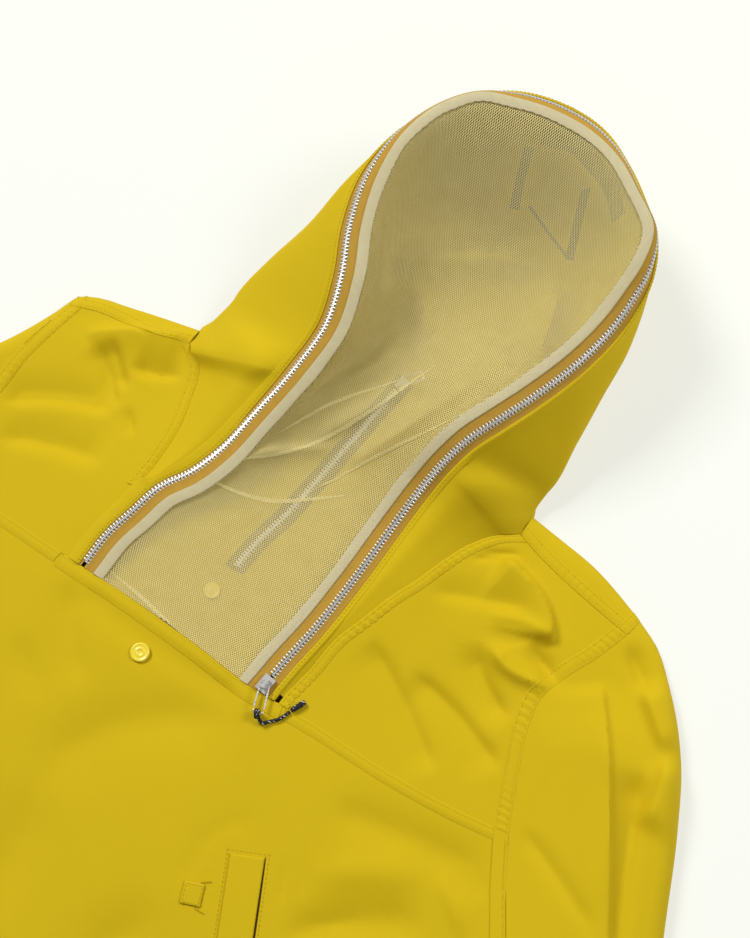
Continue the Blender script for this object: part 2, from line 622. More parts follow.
def zip_point(at, across, lift):
    """Point beside the zip: across it (outward over 0) and lifted off its face."""
    centre, outward, lean = zip_frame(at)
    level = np.radians(-8.0) + 0 * lean  # the net's edge slopes in and down
    steps = 12
    run = np.zeros(len(lean))
    rise = np.zeros(len(lean))
    angle = lean
    for n in range(steps):
        q = across * (n + 0.5) / steps
        bend = np.clip((-q - 4.0) / 10.0, 0, 1)
        angle = lean + (level - lean) * bend * bend * (3 - 2 * bend)
        run += np.cos(angle) * across / steps
        rise -= np.sin(angle) * across / steps
    bend = np.clip((-across - 4.0) / 10.0, 0, 1)
    angle = lean + (level - lean) * bend * bend * (3 - 2 * bend)
    run += np.sin(angle) * lift
    rise += np.cos(angle) * lift
    flat = outward * run[:, None]
    return centre + np.concatenate([flat, rise[:, None]], axis=1)


def zip_strip(at, first, last, low, high, steps=1):
    """Face and back of a strip that follows the zip."""
    cols = [first + (last - first) * k / steps for k in range(steps + 1)]
    face = np.stack([zip_point(at, q, high) for q in cols], axis=1)
    back = np.stack([zip_point(at, q, low) for q in cols], axis=1)
    return face, back


# ---------------------------------------------------------------- plans of the pieces
def arm_points(side):
    """Shared points of an armhole: shoulder tip, shoulder seam, chest seam, underarm."""
    top, yoke, low = (
        (ARM_TOP_R, ARM_YOKE_R, ARM_LOW_R) if side > 0 else (ARM_TOP_L, ARM_YOKE_L, ARM_LOW_L)
    )
    low_length = length_keys(low)[-1]
    down = turned(low_length, 16, start=False)
    rows = even(len(neck_stations(side)) - 1)
    return along(top, WRAP), along(yoke, rows), along(low, down)


def cuff_line(side, fractions):
    out, inn = (SLEEVE_OUT_R, SLEEVE_IN_R) if side > 0 else (SLEEVE_OUT_L, SLEEVE_IN_L)
    a, b = np.array(out[-1], float), np.array(inn[-1], float)
    return a + (b - a) * np.asarray(fractions)[:, None]


def sleeve_plan(side):
    """Plan points of a sleeve: rows from the armhole to the cuff."""
    arm = np.concatenate([p[(k > 0):] for k, p in enumerate(arm_points(side))])
    arm = moved(arm, GAP / 2 * side)
    width = np.linalg.norm(cuff_line(side, [0])[0] - cuff_line(side, [1])[0])
    n = len(arm)
    across = turned(width, n - 2 * len(TURN_POINTS) + 1)
    cuff = cuff_line(side, across)
    rows = even(SLEEVE_STEPS) ** 1.4
    out, inn = (SLEEVE_OUT_R, SLEEVE_IN_R) if side > 0 else (SLEEVE_OUT_L, SLEEVE_IN_L)
    left, right = along(out, rows), along(inn, rows)
    left[0], right[0] = arm[0], arm[-1]
    return coons(arm, cuff, left, right, across, rows)


def chest_y(x):
    seam = np.array(CHEST_SEAM, float)
    return smooth(seam[:, 1:], seam[:, 0], np.asarray(x))[:, 0]


def chest_columns():
    """Shared x of the chest seam: left yoke, opening, right yoke."""
    left = np.linspace(CHEST_SEAM[0][0], NECK_L[0][1], YOKE_STEPS + 1)
    right = np.linspace(NECK_R[0][1], CHEST_SEAM[-1][0], YOKE_STEPS + 1)
    middle = np.linspace(left[-1], right[0], OPENING_STEPS + 1)
    return left, middle, right


def body_plan(low_rows):
    """Plan points of the body below the chest seam: rows from the hem up."""
    arms = [arm_points(s)[2][::-1] for s in (-1, 1)]
    sides = [
        along(line[::-1], turned(length_keys(line)[-1], low_rows, start=False))
        for line in (SIDE_L, SIDE_R)
    ]
    left = np.concatenate([sides[0], moved(arms[0], -GAP / 2)[1:]])
    right = np.concatenate([sides[1], moved(arms[1], GAP / 2)[1:]])
    columns = np.concatenate([chest_columns()[0], chest_columns()[1][1:], chest_columns()[2][1:]])
    first, last = columns[0], columns[-1]
    inside = (columns - first) / (last - first)
    edge = np.array(TURN_POINTS[:-1]) / (last - first)
    u = np.concatenate([edge, inside[1:-1], 1 - edge[::-1]])
    plan = left[:, None] * (1 - u[None, :, None]) + right[:, None] * u[None, :, None]
    x = np.clip(first + u * (last - first), first, last)
    straight = left[-1, 1] * (1 - u) + right[-1, 1] * u
    shift = chest_y(x) - GAP / 2 - straight
    near = np.clip(1 - (12 - plan[:, :, 1]) / 110, 0, 1) ** 2
    plan[:, :, 1] += near * shift
    return plan


def neck_stations(side):
    """Lengths along the zip, from its lower end, of the neck seam's shared points."""
    stations = zip_stations()
    mirrored = (stations[-1] - stations)[::-1]
    right = np.append(mirrored[mirrored < NECK_R[-1][0] - 8], NECK_R[-1][0])
    if side > 0:
        return right
    hood = stations[(stations > HOOD_START_L + 6) & (stations < NECK_L[-1][0] - 8)]
    hood = np.concatenate([[HOOD_START_L], hood, [NECK_L[-1][0]]])
    below = np.linspace(NECK_L[0][0], HOOD_START_L, len(right) - len(hood) + 1)[:-1]
    return np.concatenate([below, hood])


def neck_points(side, at):
    rows = np.array(NECK_R if side > 0 else NECK_L, float)
    return smooth(rows[:, 1:], rows[:, 0], at)


def yoke_plan(side):
    """Plan points of a front yoke: rows from the chest seam up, columns from the neck out."""
    neck = moved(neck_points(side, neck_stations(side)), -side * GAP / 2)
    arm = moved(arm_points(side)[1][::-1], side * GAP / 2)
    left, _, right = chest_columns()
    x = right if side > 0 else left[::-1]
    seam = np.stack([x, chest_y(x) + GAP / 2], axis=1)
    shoulder = along(SHOULDER_SEAM_R if side > 0 else SHOULDER_SEAM_L, even(YOKE_STEPS))
    shoulder = moved(shoulder, -side * GAP / 2)
    neck[0], neck[-1] = seam[0] + (side * 0.1, 0), shoulder[0]
    arm[0], arm[-1] = seam[-1], shoulder[-1]
    return coons(seam, shoulder, neck, arm)


def back_yoke_grid():
    """Points of the back yoke: up the back, round the shoulder folds, to the front seams."""
    arms = [np.concatenate([p[(k > 0):] for k, p in enumerate(arm_points(s)[:2])])[::-1] for s in (-1, 1)]
    shoulder = {s: along(SHOULDER_EDGE_R if s > 0 else SHOULDER_EDGE_L, even(YOKE_STEPS)) for s in (-1, 1)}
    front = {s: along(SHOULDER_SEAM_R if s > 0 else SHOULDER_SEAM_L, even(YOKE_STEPS)) for s in (-1, 1)}
    neck = back_neck_points()
    top = np.concatenate([shoulder[-1][::-1], neck, shoulder[1]])
    top[0] += (GAP, 0)
    top[-1] -= (GAP, 0)
    x = np.concatenate([chest_columns()[0], chest_columns()[1][1:-1], chest_columns()[2]])
    bottom_x = np.interp(even(len(top) - 1), even(len(x) - 1), x)
    bottom = np.stack([bottom_x, chest_y(bottom_x) + GAP], axis=1)
    rows = len(arms[0])
    left = moved(arms[0], -GAP / 2)
    right = moved(arms[1], GAP / 2)
    left[0], right[0] = bottom[0], bottom[-1]
    left[-1], right[-1] = top[0], top[-1]
    flat = coons(bottom, top, left, right)
    face, out = lower(flat)
    turns = WRAP[1:]
    more, more_out = [], []
    for t in turns:
        line = flat[-1].copy()
        for s, part in ((-1, slice(0, YOKE_STEPS + 1)), (1, slice(-YOKE_STEPS - 1, None))):
            seam = moved(front[s], s * (GAP + 0.1))
            seam[-1] -= (s * GAP / 2, 0)
            seam = seam[::-1] if s < 0 else seam
            line[part] = flat[-1][part] * (1 - t) + seam * t
        point, direction = upper(line)
        more.append(point)
        more_out.append(direction)
    grid = np.concatenate([face, np.array(more)])
    out = np.concatenate([out, np.array(more_out)])
    keep = np.ones((len(grid) - 1, grid.shape[1] - 1), bool)
    keep[rows - 1:, YOKE_STEPS:-YOKE_STEPS] = False
    return grid, out, keep


def back_neck_points():
    """Points of the back neck seam, shared with the ends of the hood's strips."""
    ends = []
    for side in (-1, 1):
        at = hood_stations(side)
        keys = (BAG_L, BAG_R)[side > 0]
        ends.append(hood_grid(side, 3)[(at > keys[0][0]) & (at < keys[3][0]), -1, :2])
    return np.concatenate([ends[0], ends[1][::-1]]) - (0, 1.5 * GAP)


def hood_stations(side):
    stations = zip_stations()
    if side > 0:
        at = (stations[-1] - stations)[::-1]
        middle = stations[-1] - middle_station()
        past = at[(at > NECK_R[-1][0] + 8) & (at < middle - 4)]
        return np.concatenate([neck_stations(1), past, [middle]])
    at = neck_stations(-1)
    at = at[at >= HOOD_START_L]
    past = stations[(stations > at[-1] + 8) & (stations < middle_station() - 4)]
    return np.concatenate([at, past, [middle_station()]])


def hood_controls(side, at):
    """Widest point, table point and end of each strip of the hood, at lengths at."""
    bag = np.array(BAG_R if side > 0 else BAG_L, float)
    total = zip_stations()[-1]
    neck = np.array(NECK_R if side > 0 else NECK_L, float)
    neck[:, 1:] = moved(neck[:, 1:], side * GAP / 2)
    neck = neck[neck[:, 0] >= (HOOD_START_L if side < 0 else 0)]
    rows, keys = [], []
    for s, x, y in neck:
        rim = zip_point(np.array([total - s if side > 0 else s]), side_out(side), CLOTH_PROUD)[0]
        end = np.array([x, y, body_height(np.array([x]), np.array([y]))[0]])
        span = np.linalg.norm(end - rim)
        rise = np.array([0, 0, 0.10 * span])
        rows.append(np.concatenate([rim + 0.35 * (end - rim) + rise, rim + 0.72 * (end - rim) + 0.5 * rise, end]))
        keys.append(s)
    for row in bag:
        keys.append(row[0])
        rows.append(row[1:])
    return smooth(np.array(rows), np.array(keys), at)


def side_out(side):
    """The zip runs up the left and down the right, so out of the opening is on its left."""
    return TAPE_OUT + GAP


def hood_grid(side, steps):
    """Face of one half of the hood: rows along the zip, columns from rim to end."""
    at = hood_stations(side)
    total = zip_stations()[-1]
    rim = zip_point(total - at if side > 0 else at, side_out(side), CLOTH_PROUD)
    controls = hood_controls(side, at).reshape(-1, 3, 3)
    keys = np.array([0.0, 0.32, 0.58, 1.0])
    fractions = even(steps)
    grid = np.stack([
        smooth(np.stack([rim[i], *controls[i]]), keys, fractions) for i in range(len(at))
    ])
    # the strips past the neck lie on the table, lifted only by the folds
    past = np.clip((at - (NECK_R if side > 0 else NECK_L)[-1][0]) / 30, 0, 1)[:, None]
    floor = np.where(fractions[None] > 0.5, past, 0)
    low = fold_heights(grid[..., 0], grid[..., 1], HOOD_FOLDS + HOOD_CREASES)
    grid[..., 2] = np.maximum(grid[..., 2], 0) + floor * low * np.clip((fractions - 0.5) * 4, 0, 1)
    wedge = at <= (NECK_R if side > 0 else NECK_L)[-1][0] + 0.1
    grid[wedge, -1] = upper(moved(neck_points(side, at[wedge]), side * GAP / 2))[0]
    grid[:, -1, 0] += side * GAP / 2 * (at > 340)
    grid[-1, :, 0] += side * GAP / 2
    return grid


def net_grid():
    """Face of the net: columns across the opening, rows from the front's edge to the crown."""
    at = zip_stations()
    side, crown = ROUND_STEPS["side"], ROUND_STEPS["crown"]
    edge = mitred(zip_point(at, -(TAPE_IN + GAP), 0.0)[:, None])[:, 0]
    rail = mitred(zip_point(at, -(BINDING[1] + 1.0), -0.2)[:, None])[:, 0]
    left, right = edge[: side + 1], edge[side + crown:][::-1]
    top = edge[side: side + crown + 1]
    inner_left = np.concatenate([rail[: side - 1], rail[side: side + 1]])
    inner_right = np.concatenate([rail[side + crown + 2:][::-1], rail[side + crown: side + crown + 1]])
    inner_top = rail[side + 1: side + crown].copy()
    inner_top[0], inner_top[-1] = inner_left[-1], inner_right[-1]
    x = np.linspace(left[0, 0], right[0, 0], crown + 1)
    x[1], x[-2] = inner_left[0, 0], inner_right[0, 0]
    x[1:-1] = np.linspace(x[1], x[-2], crown - 1)
    bottom = np.stack([x, chest_y(x) + GAP + 0.3, 12.6 + 0 * x], axis=1)
    near = np.abs(2 * even(crown) - 1)[:, None] ** 6
    bottom = bottom * (1 - near) + near * np.where(even(crown)[:, None] < 0.5, left[0], right[0])
    inner_left[0], inner_right[0] = bottom[1], bottom[-2]
    grid = np.zeros((side + 1, crown + 1, 3))
    grid[:-1, 1:-1] = coons(bottom[1:-1], inner_top, inner_left, inner_right)
    grid[:, 0], grid[:, -1], grid[-1], grid[0] = left, right, top, bottom
    u, v = even(crown)[None] * 1.0, even(side)[:, None] * 1.0
    u = np.clip((u * crown - 1) / (crown - 2), 0, 1)
    v = np.clip(v * side / (side - 1), 0, 1)
    sag = (4 * u * (1 - u)) ** 0.8 * (3.0 * np.sin(np.pi * v) + 34.0 * np.sin(np.pi * np.clip((v - 0.42) / 0.58, 0, 1)) ** 1.3)
    grid[..., 2] -= sag
    lift = fold_heights(grid[..., 0], grid[..., 1], NET_FOLDS) * np.clip(4 * u * (1 - u) * 2, 0, 1)
    lift = lift * np.clip(v * 8, 0, 1) * np.clip((1 - v) * 8, 0, 1)
    grid[..., 2] += lift
    return grid


def inner_height(x, y):
    rise = np.clip((y - 190) / 90, 0, 1)
    return INNER_Z + 5.0 * rise + fold_heights(x, y, INNER_FOLDS)


def inner_zip_line(fractions, across):
    return moved(along(INNER_ZIP, fractions), -across)


def raised(plan, height, extra=0.0):
    z = height(plan[..., 0], plan[..., 1]) + extra
    return np.concatenate([plan, z[..., None]], axis=-1)


def turned_plan(centre, lean, u, v):
    """Plan grid of a leaning strip: u across, v along."""
    c, s = math.cos(math.radians(lean)), math.sin(math.radians(lean))
    uu, vv = np.meshgrid(u, v)
    return np.stack([centre[0] + c * uu + s * -vv, centre[1] + s * uu + c * vv], axis=-1)


def slider_frame():
    """Origin and plan axes of the long zip's slider: across, and down the zip."""
    end, outward, _ = zip_frame(np.array([zip_stations()[-1]]))
    across = np.array([outward[0, 0], outward[0, 1], 0.0])
    down = np.array([across[1], -across[0], 0.0])
    return end[0] + down, across, down


def inner_slider_frame():
    """The same for the inner zip, whose slider is at its top end."""
    end, near = along(INNER_ZIP, [0.975, 0.96])
    down = np.append((end - near) / np.linalg.norm(end - near), 0.0)
    across = np.array([-down[1], down[0], 0.0])
    z = inner_height(end[:1], end[1:])[0]
    return np.array([*end, z]), across, down


def placed(points, frame):
    points = np.asarray(points, float)
    origin, across, down = frame
    return origin + points[:, :1] * across + points[:, 1:2] * down + points[:, 2:] * (0.0, 0.0, 1.0)


def pull_axes(turn):
    """Plan axes of a pull: along its wire away from the slider, and its hinge."""
    flat = np.array([math.sin(turn), -math.cos(turn), 0.0])
    way = flat * math.cos(PULL_DOWN) - np.array([0, 0, math.sin(PULL_DOWN)])
    hinge = np.array([math.cos(turn), math.sin(turn), 0.0])
    return way, hinge


def pull_pivot(inner=False):
    origin = inner_slider_frame()[0] if inner else slider_frame()[0]
    return origin + (0, 0, INNER_PIVOT_Z if inner else PIVOT_Z)

# ---------------------------------------------------------------- cloth pieces
SLEEVE_CUT = (0.30, 0.62)  # m, all round at the upper arm and along the sleeve
SURFACES = {}  # panel name: (grid, outward directions)


def cloth_panel(name, node, grid, out, mat, keep=None, wrap=False, inner=None, flat=None):
    SURFACES[name] = (grid, out)
    obj = panel(name, grid, out, FINE_WALL, mat, keep, wrap, inner)
    lay(grid, node, keep=keep, wrap=wrap, flat=flat)


def build_body(mat):
    face, out = upper(body_plan(BODY_STEPS))
    back = face - FINE_WALL * out
    back[..., 2] = np.maximum(back[..., 2], TURN_Z + GAP / 2)
    face[..., 2] = np.maximum(face[..., 2], TURN_Z + GAP / 2)
    cloth_panel("front_body_cloth", "front_body", face, out, mat, inner=back)
    face, out = lower(body_plan(BODY_STEPS // 2))
    back = face - FINE_WALL * out
    back[..., 2] = np.minimum(back[..., 2], TURN_Z - GAP / 2)
    face[..., 2] = np.minimum(face[..., 2], TURN_Z - GAP / 2)
    cloth_panel("back_body_cloth", "back_body", face, out, mat, inner=back)
    for side, word in ((-1, "left"), (1, "right")):
        face, out = upper(yoke_plan(side))
        name = f"front_yoke_{word}"
        cloth_panel(f"{name}_cloth", name, face, out, mat)
    grid, out, keep = back_yoke_grid()
    cloth_panel("back_yoke_cloth", "back_yoke", grid, out, mat, keep=keep)


def build_sleeves(mat):
    for side, word in ((-1, "left"), (1, "right")):
        plan = sleeve_plan(side)
        face, out = upper(plan)
        under, under_out = lower(plan)
        ring = np.concatenate([face, under[:, -2:0:-1]], axis=1)
        ring_out = np.concatenate([out, under_out[:, -2:0:-1]], axis=1)
        name = f"sleeve_{word}"
        cloth_panel(
            f"{name}_cloth", name, ring, ring_out, mat, wrap=True, flat=SLEEVE_CUT
        )


def build_hood(mat):
    for side, word in ((-1, "left"), (1, "right")):
        grid = hood_grid(side, HOOD_STEPS)
        out = normals_of(grid)
        if out[len(out) // 2, 1] @ np.array([side, 0.0, 0.3]) < 0:
            out = -out
        out[grid[..., 2] < 0.05] = (0, 0, -1)
        back = grid - FINE_WALL * out
        back[-1, :, 0] = grid[-1, :, 0]
        low = grid[..., 2] < 2.0
        back[low, 2] = np.maximum(back[low, 2], grid[low, 2] + 0.4)
        at = hood_stations(side)
        wedge = at <= (NECK_R if side > 0 else NECK_L)[-1][0] + 0.1
        back[wedge, -1] = grid[wedge, -1] - FINE_WALL * upper(grid[wedge, -1, :2])[1]
        at = zip_stations()[-1] - at if side > 0 else at
        back[:, 0] = zip_point(at, side_out(side), CLOTH_PROUD - FINE_WALL)
        name = f"hood_{word}"
        cloth_panel(f"{name}_cloth", name, grid, out, mat, inner=back)


def build_inner_front(mat, tape):
    steps = 24
    left, right = np.array(INNER_LEFT, float), np.array(INNER_RIGHT, float)
    base = coons(
        np.linspace(left[0], right[0], 2 * steps + 1),
        np.linspace(left[1], right[1], 2 * steps + 1) - (0, GAP / 2),
        np.linspace(left[0], left[1] - (0, GAP / 2), steps),
        np.linspace(right[0], right[1] - (0, GAP / 2), steps),
    )
    grid = raised(base, inner_height)
    up = np.zeros_like(grid) + (0, 0, 1.0)
    cloth_panel("inner_front_base_cloth", "inner_front_base", grid, up, mat)
    rows = even(60)
    for word, edge, across in (("left", left, -1), ("right", right, 1)):
        out_edge = along(edge[1:], rows)
        in_edge = inner_zip_line(rows, across * (INNER_TAPE + GAP))
        out_edge[0, 1] = in_edge[0, 1] = INNER_SEAM_Y + GAP / 2
        bottom = np.linspace(in_edge[0], out_edge[0], steps)
        top = np.linspace(in_edge[-1], out_edge[-1], steps)
        top[:, 1] += 6 * np.sin(np.pi * even(steps - 1))
        grid = raised(coons(bottom, top, in_edge, out_edge), inner_height)
        up = np.zeros_like(grid) + (0, 0, 1.0)
        name = f"inner_front_{word}"
        cloth_panel(f"{name}_cloth", name, grid, up, mat)
        offsets = (INNER_CHAIN[0] / 2 - 1.2, 4.0, 6.0, INNER_TAPE)
        strip = np.stack([inner_zip_line(rows, across * q) for q in offsets], axis=1)
        strip = raised(strip, inner_height, -0.3)
        strip[0, :, 1] = INNER_SEAM_Y + GAP + 0.6
        up = np.zeros_like(strip) + (0, 0, 1.0)
        obj = panel(f"inner_zip_tape_{word}_woven", strip, up, TAPE, tape)
        stands_for(f"inner_zip_tape_{word}")


HOOD_TAPES = [  # half width, then x, y of hand-set points on the hood's inside
    (4.0, (0, 498), (24, 502), (48, 496), (70, 486), (87, 470)),
    (4.0, (-6, 490), (-2, 474), (7, 449)),
    (3.5, (51, 484), (58, 464), (68, 434)),
    (1.3, (16, 458), (43, 445), (68, 434)),
]


def tree_of(obj):
    return BVHTree.FromPolygons(
        [v.co for v in obj.data.vertices], [tuple(p.vertices) for p in obj.data.polygons]
    )


def dropped_strip(name, route, half, trees, lift, thick, mat, taper=0.0):
    """A strip of given half width laid along a route of x, y, dropped on what lies below."""
    line = np.array(route, float)
    keys = length_keys(line)
    at = np.linspace(0.0, keys[-1], max(6, int(keys[-1] / 2.0)))
    middle = smooth(line, keys, at)
    way = np.gradient(middle, axis=0)
    side = np.stack([-way[:, 1], way[:, 0]], axis=1) / np.linalg.norm(way, axis=1)[:, None]
    wide = half * (1 - taper * (1 - np.sin(np.pi * at / keys[-1])))
    face = []
    for q in (-1.0, -0.5, 0.0, 0.5, 1.0):
        for x, y in middle + side * (q * wide)[:, None]:
            start = Vector((x * MM, y * MM, 0.13))
            hits = [tree.ray_cast(start, Vector((0, 0, -1)))[0] for tree in trees]
            heights = [hit.z / MM for hit in hits if hit]
            face.append((x, y, max(heights, default=0.4) + lift))
    face = np.array(face).reshape(5, -1, 3).swapaxes(0, 1)
    for _ in range(2):
        face[1:-1, :, 2] = np.maximum(face[1:-1, :, 2], (face[:-2, :, 2] + face[2:, :, 2]) / 2)
    out = np.zeros_like(face) + (0, 0, 1.0)
    panel(name, face, out, thick, mat)


def build_hood_tapes(mat, cloth):
    """Seam tapes on the inside of the hood, and the cloth strip over its centre seam."""
    trees = [tree_of(bpy.data.objects[n]) for n in ("hood_left_cloth", "hood_right_cloth")]
    for number, (half, *route) in enumerate(HOOD_TAPES):
        dropped_strip(f"hood_tape_{number}", route, half, trees, TAPE_LIFT, 0.25, mat)
    grid = SURFACES["hood_left_cloth"][0]
    ends = grid[::-1, -1]
    seam = np.concatenate([grid[-1, HOOD_STEPS // 2:-1:4], ends[ends[:, 1] > 266][::4]])[:, :2]
    dropped_strip("hood_centre_strip", seam, 4.0, trees, 0.3, 0.2, cloth)


NET_CREASES = [  # half width, then x, y of the places where the net lies doubled
    (1.6, (-100, 22), (-62, 17), (-22, 6), (0, -8)),
    (1.8, (-82, 118), (-30, 130), (22, 166)),
    (1.5, (-76, 132), (-28, 176), (8, 236), (28, 288)),
    (1.2, (-48, 176), (-22, 222), (10, 262)),
    (1.0, (-6, 150), (36, 216), (72, 262)),
]


def build_net_creases(mat):
    tree = tree_of(bpy.data.objects["net_sheet"])
    for number, (half, *route) in enumerate(NET_CREASES):
        dropped_strip(f"net_crease_{number}", route, half, [tree], 0.5, 0.1, mat, 0.8)


def build_net(mat):
    grid = net_grid()
    rows, cols = grid.shape[:2]
    i, j = (k.ravel() for k in np.meshgrid(np.arange(rows - 1), np.arange(cols - 1), indexing="ij"))
    quads = np.stack([i * cols + j, i * cols + j + 1, (i + 1) * cols + j + 1, (i + 1) * cols + j], axis=1)
    obj = make_object("net_sheet", grid.reshape(-1, 3), quads, mat, flat_uv(grid).reshape(-1, 2))
    lay(grid, "mesh_panel")
    return grid


def mitred(grid, ends=((0, 2), (-1, -3))):
    """The strip's ends carried on along the zip till they meet the front's edge."""
    for end, near in ends:
        way = grid[end] - grid[near]
        short = chest_y(grid[end, :, 0]) + GAP - grid[end, :, 1]
        share = np.minimum(short / np.minimum(way[:, 1], -0.5), MITRE_REACH)
        way[:, 2] *= 0.3
        grid[end] += way * np.maximum(share, 0)[:, None]
    return grid


def strip_piece(name, node, columns, thick, mat):
    """A tape that follows the zip; columns are (across, lift of its face)."""
    at = zip_stations()
    face = mitred(np.stack([zip_point(at, q, lift) for q, lift in columns], axis=1))
    back = mitred(np.stack([zip_point(at, q, lift - thick) for q, lift in columns], axis=1))
    out = (face - back) / thick
    obj = panel(name, face, out, thick, mat, inner=back)
    stands_for(node)


# ---------------------------------------------------------------- seams
def edge_lines(surface, edge, distances, wrap=False):
    """Points and directions at distances in from one edge of a panel."""
    grid, out = surface
    if wrap:
        grid, out = (np.concatenate([a, a[:, :1]], axis=1) for a in (grid, out))
    turn_to = {
        "left": lambda a: a, "right": lambda a: a[:, ::-1],
        "start": lambda a: a.swapaxes(0, 1), "end": lambda a: a[::-1].swapaxes(0, 1),
    }[edge]
    grid, out = turn_to(grid), turn_to(out)
    points, ways = [], []
    for line, way in zip(grid, out):
        run = length_keys(line)
        point = np.stack([np.interp(distances, run, line[:, k]) for k in range(3)], axis=1)
        first = (line[1] - line[0]) / max(run[1], 1e-9)
        points.append(point + np.minimum(distances, 0)[:, None] * first)
        ways.append(np.stack([np.interp(distances, run, way[:, k]) for k in range(3)], axis=1))
    return np.array(points), np.array(ways)


def resample(points, ways, pitch, first=0.0, last=1.0):
    """The same strips at an even pitch along the edge, between two shares of its length."""
    run = length_keys(points[:, points.shape[1] // 2])
    count = max(2, int(round((last - first) * run[-1] / pitch)) + 1)
    at = np.linspace(first, last, count) * run[-1]
    shape = (count,) + points.shape[1:]
    flat = [
        np.stack([np.interp(at, run, a.reshape(len(run), -1)[:, k]) for k in range(a[0].size)], axis=1)
        for a in (points, ways)
    ]
    return flat[0].reshape(shape), flat[1].reshape(shape), at


def felled(name, panel_name, edge, width, mat, first=0.0, last=1.0, wrap=False, lift=0.5, pucker=0.22):
    """A flat-felled seam or turned hem: a band along the edge, proud of the cloth."""
    inner = min(1.7, width / 4)
    profile = [
        (-0.4, 0.15), (0.0, 0.7), (1.0, 1.0), (inner, 0.55), (inner + 0.8, 1.0), (width / 2, 1.1),
        (width - inner - 0.8, 1.0), (width - inner, 0.5), (width - 0.8, 0.9), (width - 0.2, 0.5),
        (width + 0.2, -0.5),
    ]
    at = np.array([d for d, _ in profile])
    points, ways = edge_lines(SURFACES[panel_name], edge, at, wrap)
    points, ways, run = resample(points, ways, 1.6, first, last)
    wave = 1 + pucker * np.sin(run / 0.95 + 2.4 * np.sin(run / 23)) * (0.5 + 0.5 * np.sin(run / 13 + 1.0))
    height = np.array([h for _, h in profile])[None] * lift
    rise = height * np.where((at > 0.2) & (at < width), wave[:, None], 1)
    face = points + ways * rise[..., None]
    rows, cols = face.shape[:2]
    i, j = (k.ravel() for k in np.meshgrid(np.arange(rows - 1), np.arange(cols), indexing="ij"))
    k = (j + 1) % cols
    quads = np.stack([i * cols + j, (i + 1) * cols + j, (i + 1) * cols + k, i * cols + k], axis=1)
    caps = [list(range(cols)), list(range((rows - 1) * cols, rows * cols))[::-1]]
    normal = np.cross(face[1, 3] - face[0, 3], face[0, 4] - face[0, 3])
    if normal @ ways[0, 3] < 0:
        quads = quads[:, ::-1]
    else:
        caps = [c[::-1] for c in caps]
    obj = make_object(name, face.reshape(-1, 3), quads.tolist() + caps, mat, flat_uv(face).reshape(-1, 2))
    return obj


STITCH = [(-1.0, 0.35), (-0.55, 1.0), (0.55, 1.0), (1.0, 0.35)]


def stitches_at(points, ways, pitch_run, length=2.1, radius=0.27):
    """Points and faces of short threads lying along a line."""
    step = np.gradient(points, axis=0)
    step /= np.linalg.norm(step, axis=1, keepdims=True)
    side = np.cross(ways, step)
    side /= np.linalg.norm(side, axis=1, keepdims=True)
    rings = []
    for place, size in STITCH:
        for k in range(5):
            a = 2 * math.pi * k / 5
            rings.append(
                points + step * (place * length / 2)
                + size * radius * (side * math.cos(a) + ways * (0.8 * math.sin(a) + 0.5))
            )
    verts = np.stack(rings, axis=1)
    faces = []
    for ring in range(3):
        for k in range(5):
            n = (k + 1) % 5
            faces.append((ring * 5 + k, ring * 5 + n, (ring + 1) * 5 + n, (ring + 1) * 5 + k))
    faces += [(4, 3, 2, 1, 0), (15, 16, 17, 18, 19)]
    return verts, faces


class Thread:
    """Collects stitches into one piece."""

    def __init__(self):
        self.points, self.faces, self.count = [], [], 0

    def line(self, points, ways, length=2.1, radius=0.27):
        verts, faces = stitches_at(points, ways, None, length, radius)
        for n in range(len(verts)):
            base = self.count + n * verts.shape[1]
            self.faces += [tuple(base + k for k in face) for face in faces]
        self.points.append(verts.reshape(-1, 3))
        self.count += verts.shape[0] * verts.shape[1]

    def along(self, panel_name, edge, distance, lift=0.25, pitch=3.2, first=0.0, last=1.0, wrap=False):
        points, ways = edge_lines(SURFACES[panel_name], edge, np.array([distance] * 2), wrap)
        points, ways, _ = resample(points, ways, pitch, first, last)
        self.line(points[:, 0] + ways[:, 0] * lift, ways[:, 0])

    def build(self, name, mat):
        obj = make_object(name, np.concatenate(self.points), self.faces, mat)
        return obj


